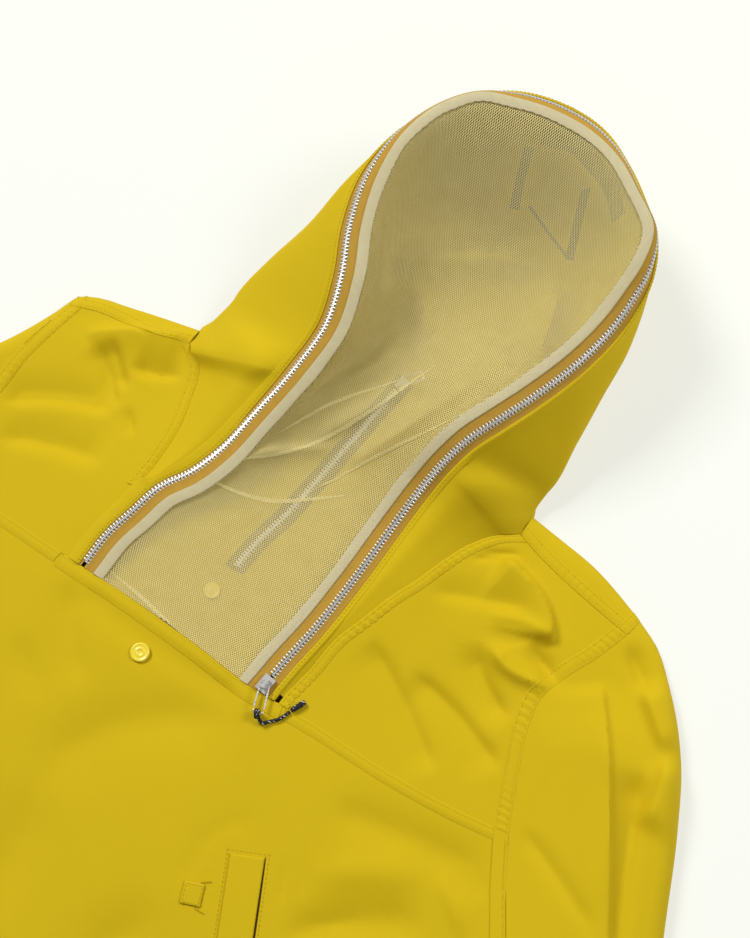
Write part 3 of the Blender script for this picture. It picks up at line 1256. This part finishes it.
# piece, edge, band width, first and last share of the edge, distances of the stitch lines, puckers
SEAMS = [
    ("front_body_cloth", "end", 9.0, 0.0, 0.262, (1.7, 7.4), 0.3),
    ("front_body_cloth", "end", 11.0, 0.268, 0.632, (9.6,), 0.2),
    ("front_body_cloth", "end", 9.0, 0.638, 1.0, (1.7, 7.4), 0.3),
    ("front_yoke_left_cloth", "right", 11.0, 0.0, 1.0, (1.7, 9.4), 0.4),
    ("front_yoke_right_cloth", "right", 11.0, 0.0, 1.0, (1.7, 9.4), 0.8),
    ("front_yoke_left_cloth", "left", 8.0, 0.36, 1.0, (1.7, 6.4), 0.4),
    ("front_yoke_right_cloth", "left", 8.0, 0.0, 1.0, (1.7, 6.4), 0.9),
    ("back_yoke_cloth", "end", 9.0, 0.0, "left", (1.7, 7.4), 0.4),
    ("back_yoke_cloth", "end", 9.0, "right", 1.0, (1.7, 7.4), 0.4),
    ("back_yoke_cloth", "left", 9.0, "turn", 1.0, (1.7, 7.4), 0.3),
    ("back_yoke_cloth", "right", 9.0, "turn", 1.0, (1.7, 7.4), 0.3),
    ("front_body_cloth", "left", 11.0, 0.77, 1.0, (1.7, 9.4), 0.3),
    ("front_body_cloth", "right", 11.0, 0.77, 1.0, (1.7, 9.4), 0.3),
    ("front_body_cloth", "start", 28.0, 0.0, 1.0, (26.0,), 0.3),
    ("back_body_cloth", "start", 28.0, 0.0, 1.0, (26.0,), 0.3),
    ("hood_left_cloth", "end", 8.0, 0.0, 1.0, (1.7, 6.4), 0.3),
]


def shoulder_share(share, edge):
    """A named place on the back yoke's edges, as a share: the neck's ends, the shoulder's turn."""
    grid = SURFACES["back_yoke_cloth"][0]
    if share == "turn":
        run = length_keys(grid[:, 0 if edge == "left" else -1])
        return run[-len(WRAP)] / run[-1]
    if share not in ("left", "right"):
        return share
    run = length_keys(grid[-1])
    return run[YOKE_STEPS if share == "left" else -YOKE_STEPS - 1] / run[-1]


def build_seams(cloth, thread_mat):
    thread = Thread()
    for number, (piece, edge, width, first, last, lines, pucker) in enumerate(SEAMS):
        under = piece.startswith("back_body")
        first, last = (shoulder_share(share, edge) for share in (first, last))
        lift = 0.12 if under else 0.5
        felled(f"seam_{number:02d}", piece, edge, width, cloth, first, last, lift=lift, pucker=pucker)
        for distance in lines:
            thread.along(piece, edge, distance, 0.05 if under else 0.25, first=first, last=last)
    for word in ("left", "right"):
        felled(f"cuff_hem_{word}", f"sleeve_{word}_cloth", "end", 26.0, cloth, wrap=True, lift=0.15)
        thread.along(f"sleeve_{word}_cloth", "end", 24.0, 0.12, wrap=True)
        thread.along(f"zip_cover_{word}", "left", 2.6, 0.1)
    return thread


# ---------------------------------------------------------------- zips
TOOTH = [  # across the zip, half width along it, as seen from above
    (-3.1, 0.60), (-2.7, 0.76), (-1.4, 0.76), (-0.5, 0.58), (0.35, 0.74), (0.95, 0.55),
]
TOOTH_PITCH = 2.8


def tooth_block(scale=1.0):
    """Points and faces of one tooth: its plan outline in four layers, rounded over."""
    points, faces = [], []
    plan = [(a, w) for a, w in TOOTH] + [(a, -w) for a, w in reversed(TOOTH)]
    count = len(plan)
    for z, grow in ((-1.1, 0.7), (-0.7, 1.0), (0.7, 1.0), (1.15, 0.62)):
        points += [(a * (0.35 + 0.65 * grow) * scale, w * grow * scale, z * scale) for a, w in plan]
    for ring in range(3):
        for k in range(count):
            n = (k + 1) % count
            faces.append((ring * count + k, (ring + 1) * count + k, (ring + 1) * count + n, ring * count + n))
    faces += [tuple(range(count)), tuple(range(3 * count, 4 * count))[::-1]]
    return np.array(points), faces


def teeth(name, node, centre, across, along_way, lift_way, mat, scale=1.0):
    """Two rows of teeth, each half a pitch from the other, along the zip's centre."""
    block, block_faces = tooth_block(scale)
    points, faces, count = [], [], 0
    for row, sign in ((0, 1.0), (1, -1.0)):
        pick = slice(row, None, 2)
        c, a, s, u = centre[pick], across[pick] * sign, along_way[pick], lift_way[pick]
        rows = (
            c[:, None] + block[None, :, :1] * a[:, None] + block[None, :, 1:2] * s[:, None] * sign
            + block[None, :, 2:] * u[:, None]
        )
        for n in range(len(rows)):
            faces += [tuple(count + k for k in face[::-1]) for face in block_faces]
            count += len(block)
        points.append(rows.reshape(-1, 3))
    obj = make_object(name, np.concatenate(points), faces, mat)
    stands_for(node)


MITRE_REACH = 6.0  # lengths of two rows that an end may be carried on by


def build_zips(tape, steel, bright):
    total = zip_stations()[-1]
    at = np.arange(1.2, total - 7.0, TOOTH_PITCH / 2)
    centre = zip_point(at, 0.0, 0.0)
    across = zip_point(at, 0.5, 0.0) - zip_point(at, -0.5, 0.0)
    lift = zip_point(at, 0.0, 1.0) - centre
    run = np.cross(lift, across)
    run /= np.linalg.norm(run, axis=1, keepdims=True)
    teeth("zip_teeth", "zip_chain", centre, across, run, lift, steel)
    columns = [(CHAIN[0] / 2 - 1.4, 0.1), (3.6, 0.45), (4.4, 0.05), (6.6, 0.0), (TAPE_OUT, 0.0)]
    strip_piece("zip_tape_outer_woven", "zip_tape_outer", columns, TAPE, tape)
    columns = [(-q, h) for q, h in columns[:-1]] + [(-TAPE_IN, 0.0)]
    strip_piece("zip_tape_inner_woven", "zip_tape_inner", columns, TAPE, tape)

    length = length_keys(INNER_ZIP)[-1]
    share = np.arange(1.0, length * INNER_CHAIN_END, 1.25) / length
    flat = along(INNER_ZIP, share)
    z = inner_height(flat[:, 0], flat[:, 1]) + 0.1
    centre = np.concatenate([flat, z[:, None]], axis=1)
    run = np.gradient(centre, axis=0)
    run /= np.linalg.norm(run, axis=1, keepdims=True)
    up = np.zeros_like(run) + (0, 0, 1.0)
    across = np.cross(run, up)
    teeth("inner_zip_teeth", "inner_zip_chain", centre, across, run, up, bright, 0.84)


ZIP_COVERS = {  # mm along the zip from that side's lower end, inner edge of the folded cloth
    -1: [(-10, 3.5), (150, 3.5), (215, 6.8), (600, 6.8)],
    1: [(-10, 8.0), (410, 8.0), (470, 6.8), (600, 6.8)],
}


def build_covers(mat):
    """The folded edge of the cloth that lies over the outer zip tape, one on each side."""
    total = zip_stations()[-1]
    beside = np.array([1.2, 2.6, 3.6, 4.2])
    for side, word in ((-1, "left"), (1, "right")):
        at = hood_stations(side)
        points, ways = edge_lines(SURFACES[f"hood_{word}_cloth"], "left", beside)
        if side < 0:
            low = neck_stations(-1)
            low = low[low < HOOD_START_L - 1]
            more, more_ways = edge_lines(SURFACES["front_yoke_left_cloth"], "left", beside)
            points = np.concatenate([more[: len(low)], points])
            ways = np.concatenate([more_ways[: len(low)], ways])
            at = np.concatenate([low, at])
            keep = at > 1.0
            points, ways, at = points[keep], ways[keep], at[keep]
        inner = np.interp(at, *np.array(ZIP_COVERS[side]).T)
        run = total - at if side > 0 else at
        face, back = [], []
        for add, lift in ((0.0, 0.25), (0.1, 0.9), (0.8, 1.3)):
            rows = [zip_point(run[k:k + 1], inner[k] + add, lift)[0] for k in range(len(run))]
            face.append(np.array(rows))
        for k, lift in enumerate((0.75, 0.6, 0.4, -0.3)):
            face.append(points[:, k] + ways[:, k] * lift)
        face = np.stack(face, axis=1)
        face = mitred(face, [(0, 2)])
        out = normals_of(face)
        if out[len(out) // 2, 4] @ ways[len(out) // 2, 1] < 0:
            out = -out
        back = face - 0.45 * out
        name = f"zip_cover_{word}"
        obj = panel(name, face, out, 0.45, mat, inner=back)
        SURFACES[name] = (face, out)


def build_binding(mat):
    """Folded tape over the net's edge; its inner edge wanders, and is scalloped over the crown."""
    at = resampled_stations(2.0)
    crown = ease((at - ZIP_LEFT + 60) / 60) * ease((ZIP_LEFT + ZIP_CROWN + 60 - at) / 60)
    wave = 0.5 * np.sin(at / 11.0 + 1.5 * np.sin(at / 37.0)) * np.sin(at / 29.0)
    wave += crown * 0.7 * (np.abs(np.sin(np.pi * at / 7.4)) - 0.6)
    first, last = BINDING
    columns = [(first, 0.2), (first + 0.5, 1.1), (first + 2.0, 1.3), ((first + last) / 2, 1.2),
               (last - 1.4, 1.3), (last - 0.3, 1.0), (last, 0.2)]
    face, back = [], []
    for q, lift in columns:
        shift = wave * (q - first) / (last - first)
        face.append(np.stack([zip_point(at[i:i + 1], -(q + shift[i]), lift)[0] for i in range(len(at))]))
        back.append(np.stack([zip_point(at[i:i + 1], -(q + shift[i]), 0.1)[0] for i in range(len(at))]))
    face, back = mitred(np.stack(face, axis=1)), mitred(np.stack(back, axis=1))
    out = zip_point(at, -14.0, 1.0) - zip_point(at, -14.0, 0.0)
    out = np.repeat(out[:, None], len(columns), axis=1)
    obj = panel("mesh_binding_tape", face, out, 1.0, mat, inner=back)
    stands_for("mesh_binding")
    SURFACES["mesh_binding_tape"] = (face, out)


def resampled_stations(pitch):
    total = zip_stations()[-1]
    return np.linspace(0, total, int(total / pitch) + 1)


# ---------------------------------------------------------------- small pieces
def snap(name, node, x, y, z, radius, height, mat):
    """A pressed snap cap: rolled rim, a groove and a raised ring round a dished middle."""
    profile = [
        (radius * 0.92, 0.0), (radius, 0.25), (radius, 0.6), (radius * 0.96, 0.86), (radius * 0.88, 0.98),
        (radius * 0.78, 0.95), (radius * 0.70, 0.84), (radius * 0.55, 0.80), (radius * 0.48, 0.86),
        (radius * 0.42, 0.97), (radius * 0.35, 0.97), (radius * 0.29, 0.82), (radius * 0.16, 0.72),
    ]
    steps = 56
    angle = 2 * math.pi * np.arange(steps) / steps
    points, faces = [], []
    for r, h in profile:
        points += [(x + r * math.cos(a), y + r * math.sin(a), z + h * height) for a in angle]
    points += [(x, y, z + 0.7 * height), (x, y, z)]
    for ring in range(len(profile) - 1):
        for k in range(steps):
            n = (k + 1) % steps
            faces.append((ring * steps + k, ring * steps + n, (ring + 1) * steps + n, (ring + 1) * steps + k))
    top, base = len(points) - 2, len(points) - 1
    for k in range(steps):
        n = (k + 1) % steps
        faces.append(((len(profile) - 1) * steps + k, (len(profile) - 1) * steps + n, top))
        faces.append((n, k, base))
    obj = make_object(name, points, faces, mat)
    stands_for(node)


def laid_patch(name, node, centre, width, length, lean, drop, mat, thread):
    """A folded strip of cloth on the front, with its edges rolled and stitched."""
    u = np.concatenate([[0, 0.25, 0.9], np.linspace(2.2, width - 2.2, 9), [width - 0.9, width - 0.25, width]])
    v = np.concatenate([[0, 0.25, 0.9], np.linspace(2.2, length - 2.2, max(5, int(length / 5))),
                        [length - 0.9, length - 0.25, length]])
    top = -length if drop else -length / 2
    plan = turned_plan(centre, -lean, u - width / 2, v + top)
    edge = np.minimum(np.minimum(u, width - u)[None], np.minimum(v, length - v)[:, None])
    roll = np.sqrt(np.clip(1 - (1 - np.clip(edge / 0.9, 0, 1)) ** 2, 0, 1))
    z = body_height(plan[..., 0], plan[..., 1]) + soft(plan[..., 0], plan[..., 1])
    z += GAP + 0.15 + CLOTH * (0.25 + 0.75 * roll)
    grid = np.concatenate([plan, z[..., None]], axis=-1)
    out = np.zeros_like(grid) + (0, 0, 1.0)
    back = grid.copy()
    back[..., 2] = z - CLOTH * (0.25 + 0.75 * roll)
    obj = panel(name, grid, out, CLOTH, mat, inner=back)
    lay(grid, node)
    SURFACES[name] = (grid, out)
    for edge_name in () if drop else ("left", "right", "start", "end"):
        thread.along(name, edge_name, 2.0, 0.02, first=0.02, last=0.98)


def on_front(plan, lift):
    """Points on the front's cloth below plan points."""
    z = body_height(plan[..., 0], plan[..., 1]) + soft(plan[..., 0], plan[..., 1]) + lift
    return np.concatenate([plan, z[..., None]], axis=-1)


def build_pocket_lines(dark, thread):
    """Stitches round the welt, its open slit, and the bar tacks at the loop's corners."""
    x, y, width, length, lean = WELT
    half, low = width / 2 + 2.4, -length * 0.97
    rows = [
        [(-half, low), (-half, 2.4)], [(-half, 2.4), (half + 0.8, 2.4)], [(half + 0.8, 2.4), (half + 0.8, low)],
    ]
    x2, y2, wide, tall, tilt = LOOP_TAB
    tacks = [[(wide / 2 - 3, s * (tall / 2 + 1.2)), (wide / 2 + 3, s * (tall / 2 + 3.0))] for s in (-1, 1)]
    for (cx, cy), turn, lines, pitch in (((x, y), lean, rows, 3.2), ((x2, y2), tilt, tacks, 1.0)):
        for line in lines:
            plan = along(np.array(line, float), even(max(2, int(length_keys(line)[-1] / pitch))))
            plan = np.array([turned_plan((cx, cy), -turn, [u], [v])[0, 0] for u, v in plan])
            points = on_front(plan, 0.1)
            ways = np.zeros_like(points) + (0, 0, 1.0)
            thread.line(points, ways, 2.1, 0.24)
            if pitch < 2:
                thread.line(points + (0.5, -0.5, 0.2), ways, 2.4, 0.30)
    share = even(40)
    middle = np.stack([np.full(41, width / 2 + 0.75), 1.0 - 92.0 * share], axis=1)
    open_by = 0.25 + 0.75 * np.sin(np.pi * np.clip(share, 0, 1)) ** 0.7
    face = []
    for side in (-0.75, 0.75):
        plan = middle + np.stack([side * open_by, 0 * share], axis=1)
        face.append(np.array([turned_plan((x, y), -lean, [u], [v])[0, 0] for u, v in plan]))
    face = on_front(np.stack(face, axis=1), 0.16)
    up = np.zeros_like(face) + (0, 0, 1.0)
    panel("welt_slit", face, up, 0.12, dark)


def pull_knot_route():
    """The cord's route: round the pull's end bar, then its free tail."""
    way, hinge = pull_axes(PULL_TURN)
    up = np.cross(way, hinge)
    bar = pull_pivot() + way * PULL[1]
    round_bar = PULL[2] / 2 + GAP + CORD_D / 2 + 0.15
    knot = []
    for k in range(13):  # one and a half turns round the wire's end
        a = math.pi * (3.0 * k / 12 - 0.5)
        knot.append(
            bar + hinge * (-1.5 + 3.0 * k / 12) + way * round_bar * math.sin(a)
            + up * round_bar * math.cos(a)
        )
    heights = [body_height(np.array([x]), np.array([y]))[0] + h for x, y, h in CORD]
    tail = [np.array([x, y, z]) for (x, y, _), z in zip(CORD, heights)]
    return np.array(knot + tail)


def tube_mesh(name, path, radius, mat, sides=20, body="front_pull"):
    """A round tube with rounded ends along a path, its UV running round and along."""
    path = np.asarray(path, float)
    step = np.gradient(path, axis=0)
    step /= np.linalg.norm(step, axis=1, keepdims=True)
    side = np.cross(step[0], (0.0, 0.0, 1.0))
    run = length_keys(path)
    radius = np.broadcast_to(radius, len(path))
    points, uv = [], []
    for i in range(len(path)):
        side = side - step[i] * (side @ step[i])
        side /= np.linalg.norm(side)
        other = np.cross(step[i], side)
        for k in range(sides):
            a = 2 * math.pi * k / sides
            points.append(path[i] + radius[i] * (side * math.cos(a) + other * math.sin(a)))
            uv.append((k * 8.0 / sides, run[i]))
    faces = []
    for i in range(len(path) - 1):
        for k in range(sides):
            n = (k + 1) % sides
            faces.append((i * sides + k, i * sides + n, (i + 1) * sides + n, (i + 1) * sides + k))
    faces += [tuple(range(sides))[::-1], tuple(range((len(path) - 1) * sides, len(path) * sides))]
    obj = make_object(name, points, faces, mat, uv, body)
    return obj


def build_cord(black):
    path = along(pull_knot_route(), even(150))
    cord = tube_mesh("pull_cord_braid", path, CORD_D / 2, black)
    ends = [np.array([x, y, body_height(np.array([x]), np.array([y]))[0] + h]) for x, y, h in CORD_END]
    sleeve = along(np.array(ends), even(24))
    share = even(24)
    radius = CORD_END_D / 2 * (0.62 + 0.38 * np.clip(np.minimum(share, 1 - share) * 9, 0, 1))
    tip = tube_mesh("cord_end_sleeve", sleeve, radius, black)
    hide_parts("pull_cord")
    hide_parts("cord_end")


# ---------------------------------------------------------------- materials
class Nodes:
    """Short hand for a material's node tree."""

    def __init__(self, name, roughness, metallic=0.0, specular=0.4):
        self.mat = bpy.data.materials.new(name)
        self.mat.use_nodes = True
        self.tree = self.mat.node_tree
        self.shader = self.tree.nodes["Principled BSDF"]
        self.shader.inputs["Roughness"].default_value = roughness
        self.shader.inputs["Metallic"].default_value = metallic
        self.shader.inputs["Specular IOR Level"].default_value = specular

    def add(self, kind, **values):
        node = self.tree.nodes.new("ShaderNode" + kind)
        for key, value in values.items():
            if hasattr(node, key):
                setattr(node, key, value)
            else:
                node.inputs[key.replace("_", " ")].default_value = value
        return node

    def link(self, a, out, b, into):
        self.tree.links.new(a.outputs[out], b.inputs[into])

    def math(self, operation, a, b=None, clamp=False):
        node = self.add("Math", operation=operation, use_clamp=clamp)
        for n, value in enumerate((a, b)):
            if value is None:
                continue
            if isinstance(value, (int, float)):
                node.inputs[n].default_value = value
            else:
                self.tree.links.new(value, node.inputs[n])
        return node.outputs[0]

    def mix(self, factor, a, b):
        node = self.add("Mix", data_type="RGBA")
        self.tree.links.new(factor, node.inputs[0])
        for n, value in ((6, a), (7, b)):
            if isinstance(value, tuple):
                node.inputs[n].default_value = (*value, 1.0)
            else:
                self.tree.links.new(value, node.inputs[n])
        return node.outputs[2]

    def uv_mm(self):
        """The cloth's own flat plan, in millimetres."""
        place = self.add("UVMap")
        scale = self.add("VectorMath", operation="SCALE")
        scale.inputs["Scale"].default_value = 1000.0
        self.link(place, "UV", scale, 0)
        return scale.outputs[0]

    def object_mm(self):
        place = self.add("TexCoord")
        scale = self.add("VectorMath", operation="SCALE")
        scale.inputs["Scale"].default_value = 1000.0
        self.link(place, "Object", scale, 0)
        return scale.outputs[0]

    def noise(self, vector, size, detail=2.0):
        """Noise from 0 to 1 with features of about this size in millimetres."""
        node = self.add("TexNoise", Scale=1.0 / size, Detail=detail)
        self.tree.links.new(vector, node.inputs["Vector"])
        return node.outputs["Fac"]

    def wave(self, vector, axis, pitch, turned_by=0.0):
        """Sine from 0 to 1 across one axis of a vector, turned in its plane."""
        node = self.add("VectorRotate", rotation_type="Z_AXIS")
        node.inputs["Angle"].default_value = turned_by
        self.tree.links.new(vector, node.inputs["Vector"])
        split = self.add("SeparateXYZ")
        self.link(node, 0, split, 0)
        turned_to = self.math("MULTIPLY", split.outputs[axis], 2 * math.pi / pitch)
        return self.math("MULTIPLY_ADD", self.math("SINE", turned_to), 0.5)

    def bump(self, height, strength, distance):
        node = self.add("Bump", Strength=strength, Distance=distance)
        self.tree.links.new(height, node.inputs["Height"])
        return node

    def finish(self, colour=None, bumps=()):
        """Puts colour and a chain of (height, strength, metres) bumps on the shader."""
        if colour is not None:
            self.tree.links.new(colour, self.shader.inputs["Base Color"])
        last = None
        for height, strength, distance in bumps:
            node = self.bump(height, strength, distance)
            if last:
                self.link(last, "Normal", node, "Normal")
            last = node
        if last:
            self.link(last, "Normal", self.shader, "Normal")
        return self.mat


def cloth_material(name, light, dark, roughness=0.8):
    """Close-woven cloth: a fine twill, slubs, and slow changes of tone."""
    n = Nodes(name, roughness, specular=0.14)
    plan, place = n.uv_mm(), n.object_mm()
    warp, weft = n.wave(plan, 0, 0.62, 0.5), n.wave(plan, 1, 0.50)
    weave = n.math("MULTIPLY", warp, weft)
    slow, middle = n.noise(place, 90.0, 3.0), n.noise(place, 9.0, 4.0)
    tone = n.math("ADD", n.math("MULTIPLY", slow, 0.65), n.math("MULTIPLY", middle, 0.35), True)
    tone = n.math("ADD", n.math("MULTIPLY", tone, 0.8), n.math("MULTIPLY", weave, 0.25), True)
    colour = n.mix(tone, dark, light)
    return n.finish(colour, [(n.noise(place, 14.0, 3.0), 0.14, 0.0012), (weave, 0.25, 0.00012)])


def tape_material(name, light, dark):
    """Woven zip tape: ribs along it and a fine cross weave."""
    n = Nodes(name, 0.8, specular=0.25)
    plan = n.uv_mm()
    rib, cross = n.wave(plan, 0, 1.15), n.wave(plan, 1, 0.7)
    weave = n.math("MULTIPLY", n.math("ADD", rib, 0.25), cross)
    tone = n.math("ADD", n.math("MULTIPLY", n.noise(plan, 6.0), 0.5), n.math("MULTIPLY", weave, 0.7), True)
    return n.finish(n.mix(tone, dark, light), [(weave, 0.5, 0.00025)])


def net_material(name, hole):
    """Knitted net: offset rows of round holes between fine threads."""
    n = Nodes(name, 0.8, specular=0.1)
    plan = n.uv_mm()
    rows = [n.wave(plan, 0, NET_PITCH, angle) for angle in (math.pi / 6, -math.pi / 6)]
    threads = n.math("LESS_THAN", n.math("MULTIPLY", rows[0], rows[1]), hole)
    n.tree.links.new(threads, n.shader.inputs["Alpha"])
    return n.finish(n.mix(n.noise(plan, 12.0), (0.68, 0.58, 0.24), (0.82, 0.71, 0.32)))


def metal_material(name, rgb, roughness, metallic=0.6):
    n = Nodes(name, roughness, metallic, 0.5)
    place = n.object_mm()
    wear = n.noise(place, 2.2, 4.0)
    colour = n.mix(wear, tuple(c * 0.82 for c in rgb), rgb)
    return n.finish(colour, [(n.noise(place, 0.8, 2.0), 0.15, 0.0001)])


def snap_material():
    n = Nodes("snap_paint", 0.32, specular=0.5)
    n.shader.inputs["Coat Weight"].default_value = 0.4
    n.shader.inputs["Coat Roughness"].default_value = 0.15
    place = n.object_mm()
    colour = n.mix(n.noise(place, 3.0), (0.80, 0.60, 0.02), (0.88, 0.70, 0.05))
    return n.finish(colour, [(n.noise(place, 1.0), 0.08, 0.0002)])


def cord_material():
    """Black braid with pale flecks where a tracer yarn comes up."""
    n = Nodes("cord_braid", 0.65, specular=0.3)
    plan = n.uv_mm()
    one, two = n.wave(plan, 0, 2.0, 0.75), n.wave(plan, 0, 2.0, -0.75)
    braid = n.math("MAXIMUM", one, two)
    fleck = n.math("GREATER_THAN", n.math("MULTIPLY", one, n.noise(plan, 2.4, 0.0)), 0.52)
    colour = n.mix(fleck, (0.012, 0.012, 0.014), (0.55, 0.54, 0.50))
    return n.finish(colour, [(braid, 0.8, 0.0004)])


# ---------------------------------------------------------------- stage
CAMERA_PLACE = Vector((0.1779, -0.0414, 1.0625))
CAMERA_LOOKS_AT = Vector((0.027, 0.200, 0.0))
IMAGE_UP = Vector((-0.530, 0.848, 0.0))
LENS = 53.73
FLOOR_GLOW = 0.62  # the table is a lit white sheet, so shadows on it are faint


def build_camera():
    data = bpy.data.cameras.new("view")
    data.lens = LENS
    data.sensor_width = 36.0
    camera = bpy.data.objects.new("view", data)
    away = (CAMERA_PLACE - CAMERA_LOOKS_AT).normalized()
    right = IMAGE_UP.cross(away).normalized()
    up = away.cross(right)
    turn_to = Matrix((right, up, away)).transposed().to_4x4()
    camera.matrix_world = Matrix.Translation(CAMERA_PLACE) @ turn_to
    bpy.context.scene.collection.objects.link(camera)
    bpy.context.scene.camera = camera


def area_light(name, place, target, size, power, rgb=(1.0, 1.0, 1.0)):
    data = bpy.data.lights.new(name, "AREA")
    data.shape = "RECTANGLE"
    data.size, data.size_y = size
    data.energy = power
    data.color = rgb
    light = bpy.data.objects.new(name, data)
    light.location = place
    way = Vector(target) - Vector(place)
    light.rotation_euler = way.to_track_quat("-Z", "Y").to_euler()
    bpy.context.scene.collection.objects.link(light)


def build_stage():
    mesh = bpy.data.meshes.new("floor")
    reach, z = 4.0, -0.0004
    corners = [(-reach, -reach, z), (reach, -reach, z), (reach, reach, z), (-reach, reach, z)]
    mesh.from_pydata(corners, [], [(0, 1, 2, 3)])
    floor = bpy.data.objects.new("floor", mesh)
    bpy.context.scene.collection.objects.link(floor)
    n = Nodes("floor_paper", 0.95, specular=0.0)
    n.shader.inputs["Emission Color"].default_value = (0.99, 1.0, 0.925, 1.0)
    n.shader.inputs["Emission Strength"].default_value = FLOOR_GLOW
    n.finish(n.mix(n.noise(n.object_mm(), 400.0), (0.315, 0.318, 0.296), (0.325, 0.328, 0.305)))
    mesh.materials.append(n.mat)

    world = bpy.data.worlds.new("studio")
    world.use_nodes = True
    sky = world.node_tree.nodes["Background"]
    sky.inputs["Color"].default_value = (1.0, 1.0, 0.985, 1.0)
    sky.inputs["Strength"].default_value = 0.28
    bpy.context.scene.world = world
    area_light("key", (-3.6, 1.3, 3.6), (0.0, 0.1, 0.0), (1.6, 1.6), 222.0)
    area_light("top", (1.6, 1.6, 1.9), (0.1, 0.2, 0.0), (1.0, 1.0), 36.0)
    bpy.context.scene.view_settings.view_transform = "Standard"


def main():
    build_camera()
    yellow = cloth_material("cloth_yellow", (0.615, 0.440, 0.0060), (0.555, 0.392, 0.0042))
    inside = cloth_material("cloth_yellow_inner", (0.600, 0.430, 0.012), (0.530, 0.370, 0.009))
    thread_mat = cloth_material("thread_yellow", (0.600, 0.435, 0.010), (0.500, 0.350, 0.006), 0.6)
    tape = tape_material("zip_tape_woven", (0.560, 0.330, 0.040), (0.400, 0.220, 0.026))
    taupe = tape_material("inner_zip_tape_woven", (0.330, 0.230, 0.090), (0.230, 0.150, 0.055))
    shade = cloth_material("cloth_in_the_slit", (0.060, 0.036, 0.002), (0.040, 0.024, 0.0015))
    lining_tape = tape_material("hood_tape_woven", (0.300, 0.215, 0.070), (0.220, 0.155, 0.048))
    beige = tape_material("binding_woven", (0.680, 0.610, 0.370), (0.500, 0.430, 0.240))
    net = net_material("net_fine", NET_HOLE)
    doubled = net_material("net_doubled", 2.4 * NET_HOLE)
    steel = metal_material("zip_nickel", (0.72, 0.71, 0.68), 0.38)
    bright = metal_material("inner_zip_nickel", (0.97, 0.96, 0.92), 0.5, 0.15)
    black = cord_material()
    paint = snap_material()

    build_cord(black)
    build_body(yellow)
    build_sleeves(yellow)
    build_hood(yellow)
    build_hood_tapes(lining_tape, inside)
    build_inner_front(inside, taupe)
    build_net(net)
    build_net_creases(doubled)
    build_zips(tape, steel, bright)
    build_binding(beige)
    build_covers(yellow)
    thread = build_seams(yellow, thread_mat)
    for name, node, (x, y, r, h), level in (
        ("snap_front", "front_snap", FRONT_SNAP, body_height),
        ("snap_inner", "inner_snap", INNER_SNAP, inner_height),
    ):
        z = level(np.array([x]), np.array([y]))[0] + GAP
        snap(name, node, x, y, z, r, h, paint)
    laid_patch("welt_cloth", "chest_welt", WELT[:2], *WELT[2:], True, yellow, thread)
    laid_patch("loop_cloth", "loop_tab", LOOP_TAB[:2], *LOOP_TAB[2:], False, yellow, thread)
    build_pocket_lines(shade, thread)
    thread.build("stitches", thread_mat)

    for node in ("zip_slider", "inner_zip_slider", "zip_pull", "inner_zip_pull"):
        obj = frame["nodes"][node]
        for slot in obj.material_slots:
            slot.material = steel
        if "slider" in node:
            edge = obj.modifiers.new("rounded", "BEVEL")
            edge.width, edge.segments = 0.0005, 3
        else:
            obj.modifiers.new("round", "SUBSURF").levels = 2
            obj.modifiers["round"].render_levels = 2
    build_stage()


main()
